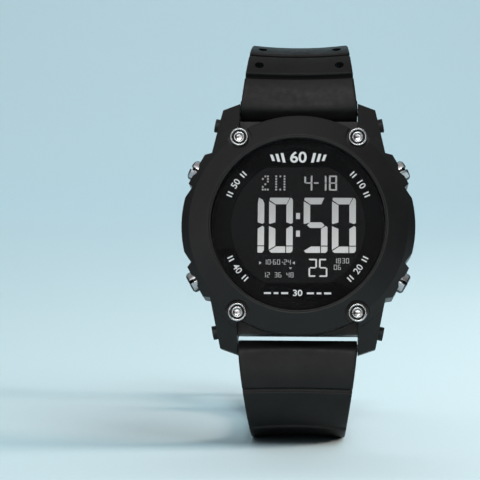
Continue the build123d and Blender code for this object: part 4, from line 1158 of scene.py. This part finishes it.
def dial_print():
    """Everything printed on the dial."""
    solids = [print_number("60", 0.0, TOP_Z, TOP_TYPE),
              print_number("30", 0.0, FOOT_Z, FOOT_TYPE)]
    for side in (-1, 1):
        for step in range(TOP_BARS):
            x = side * (TOP_BAR_START + TOP_BAR_PITCH * step)
            height = TOP_BAR_HEIGHT - TOP_BAR_FALL * step
            solids.append(print_bar(x, TOP_Z, TOP_BAR_WIDTH, height, slant=side * TOP_BAR_SLANT))
        for step, width in enumerate(FOOT_BAR_WIDTHS):
            x = side * (FOOT_BAR_START + FOOT_BAR_PITCH * step)
            solids.append(print_bar(x, FOOT_Z, width, FOOT_BAR_HEIGHT))
    for text, (degrees, facing) in RIM_NUMBERS.items():
        solids += rim_print(text, degrees, facing)
    piece = watch_mesh("dial_print", *join_solids(solids), "case", "dial_ink")


display_characters()
dial_print()


# Floor and backdrop, in metres: one pale sheet that curves up behind the watch
FLOOR_HALF_WIDTH = 12.0
FLOOR_FRONT = -8.0
FLOOR_BACK = 1.3
SWEEP_RADIUS = 0.7
SWEEP_STEPS = 24
WALL_TOP = 2.6
PAPER_GRAIN = 900.0
PAPER_DARK, PAPER_LIGHT = (0.455, 0.622, 0.685), (0.465, 0.632, 0.695)
PAPER_ROUGHNESS, PAPER_SHINE = 0.85, 0.15


def backdrop():
    """A studio sweep in pale blue."""
    bend = arc(FLOOR_BACK, SWEEP_RADIUS, SWEEP_RADIUS, -QUARTER, SWEEP_STEPS)
    points = [(FLOOR_FRONT, 0.0), *bend, (FLOOR_BACK + SWEEP_RADIUS, WALL_TOP)]
    vertices = [(side * FLOOR_HALF_WIDTH, y, z) for y, z in points for side in (-1, 1)]
    faces = [(2 * i, 2 * i + 1, 2 * i + 3, 2 * i + 2) for i in range(len(points) - 1)]
    mesh = bpy.data.meshes.new("studio_sweep")
    mesh.from_pydata(vertices, [], faces)
    mesh.shade_smooth()
    sweep = new_object("studio_sweep", mesh)
    graph = new_material("pale_blue_paper")
    tone = graph.ramp(graph.noise(PAPER_GRAIN), PAPER_DARK, PAPER_LIGHT)
    graph.shade({"Base Color": tone, "Roughness": PAPER_ROUGHNESS,
                 "Specular IOR Level": PAPER_SHINE})
    mesh.materials.append(materials["pale_blue_paper"])
    return sweep


sweep = backdrop()


# Lights: five softboxes on the watch alone, and a warm key, a fill and a wash on the paper alone,
# so that the paper keeps its even tone and one soft shadow
WHITE, SOFT_WHITE, WARM = (1, 1, 1), (1.0, 0.97, 0.95), (1.0, 0.74, 0.62)
WATCH_ONLY, PAPER_ONLY = "EXCLUDE", "INCLUDE"


def area_light(name, place, size, power, colour=WHITE, target=(0, 0, 0), paper=WATCH_ONLY):
    """A rectangular softbox, in metres from the dial, kept to the paper or off it."""
    data = bpy.data.lights.new(name, "AREA")
    data.shape = "RECTANGLE"
    data.size, data.size_y = size
    data.energy = power
    data.color = colour
    light = new_object(name, data)
    light.location = DIAL + Vector(place)
    light.rotation_euler = (Vector(target) - Vector(place)).to_track_quat("-Z", "Y").to_euler()
    lit = bpy.data.collections.new(f"lit_by_{name}")
    lit.objects.link(sweep)
    lit.collection_objects[0].light_linking.link_state = paper
    light.light_linking.receiver_collection = lit


area_light("front_softbox", (-0.35, -0.8, 0.5), (0.6, 0.5), 1.6)
area_light("top_front", (-0.1, -0.5, 0.9), (0.6, 0.3), 0.4)
area_light("low_front", (0.0, -0.9, 0.075), (0.45, 0.17), 1.1, SOFT_WHITE)
area_light("high_front", (0.0, -0.75, 0.6), (0.3, 0.2), 2.2)
area_light("left_fill", (-0.75, -0.75, 0.2), (0.3, 0.5), 0.9)
area_light("side_key", (0.62, 0.01, 0.24), (0.13, 0.2), 4.6, WARM, (0, 0, -0.03), PAPER_ONLY)
area_light("floor_fill", (0.5, -0.2, 0.8), (0.6, 0.6), 6.2, WHITE, (0.1, 0, 0), PAPER_ONLY)
area_light("backdrop_wash", (0.0, 1.0, 1.8), (2.4, 0.7), 30.0, WHITE, (0, 2.0, 0.5), PAPER_ONLY)


# World: a soft dome, bright above and behind the watch and dim in front of it
DOME_TILT = 0.75
DOME_SPAN = 1.1
DOME_LOW = grey(0.06)
DOME_TOP = grey(0.53)


def dome():
    """A world whose tone rises with height and with depth behind the watch."""
    world = bpy.data.worlds.new("soft_studio")
    bpy.context.scene.world = world
    graph = Graph(world)
    place = graph.add("TexCoord").outputs["Generated"]
    split = graph.add("SeparateXYZ", {"Vector": place}).outputs
    tilt = graph.add("Math", {0: split["Y"], 1: DOME_TILT, 2: split["Z"]}, operation="MULTIPLY_ADD")
    share = graph.spread(tilt.outputs["Value"], 0.0, 1.0, (0.0, DOME_SPAN))
    graph.feed(graph.nodes["Background"], {"Color": graph.mix(share, DOME_LOW, DOME_TOP)})


dome()
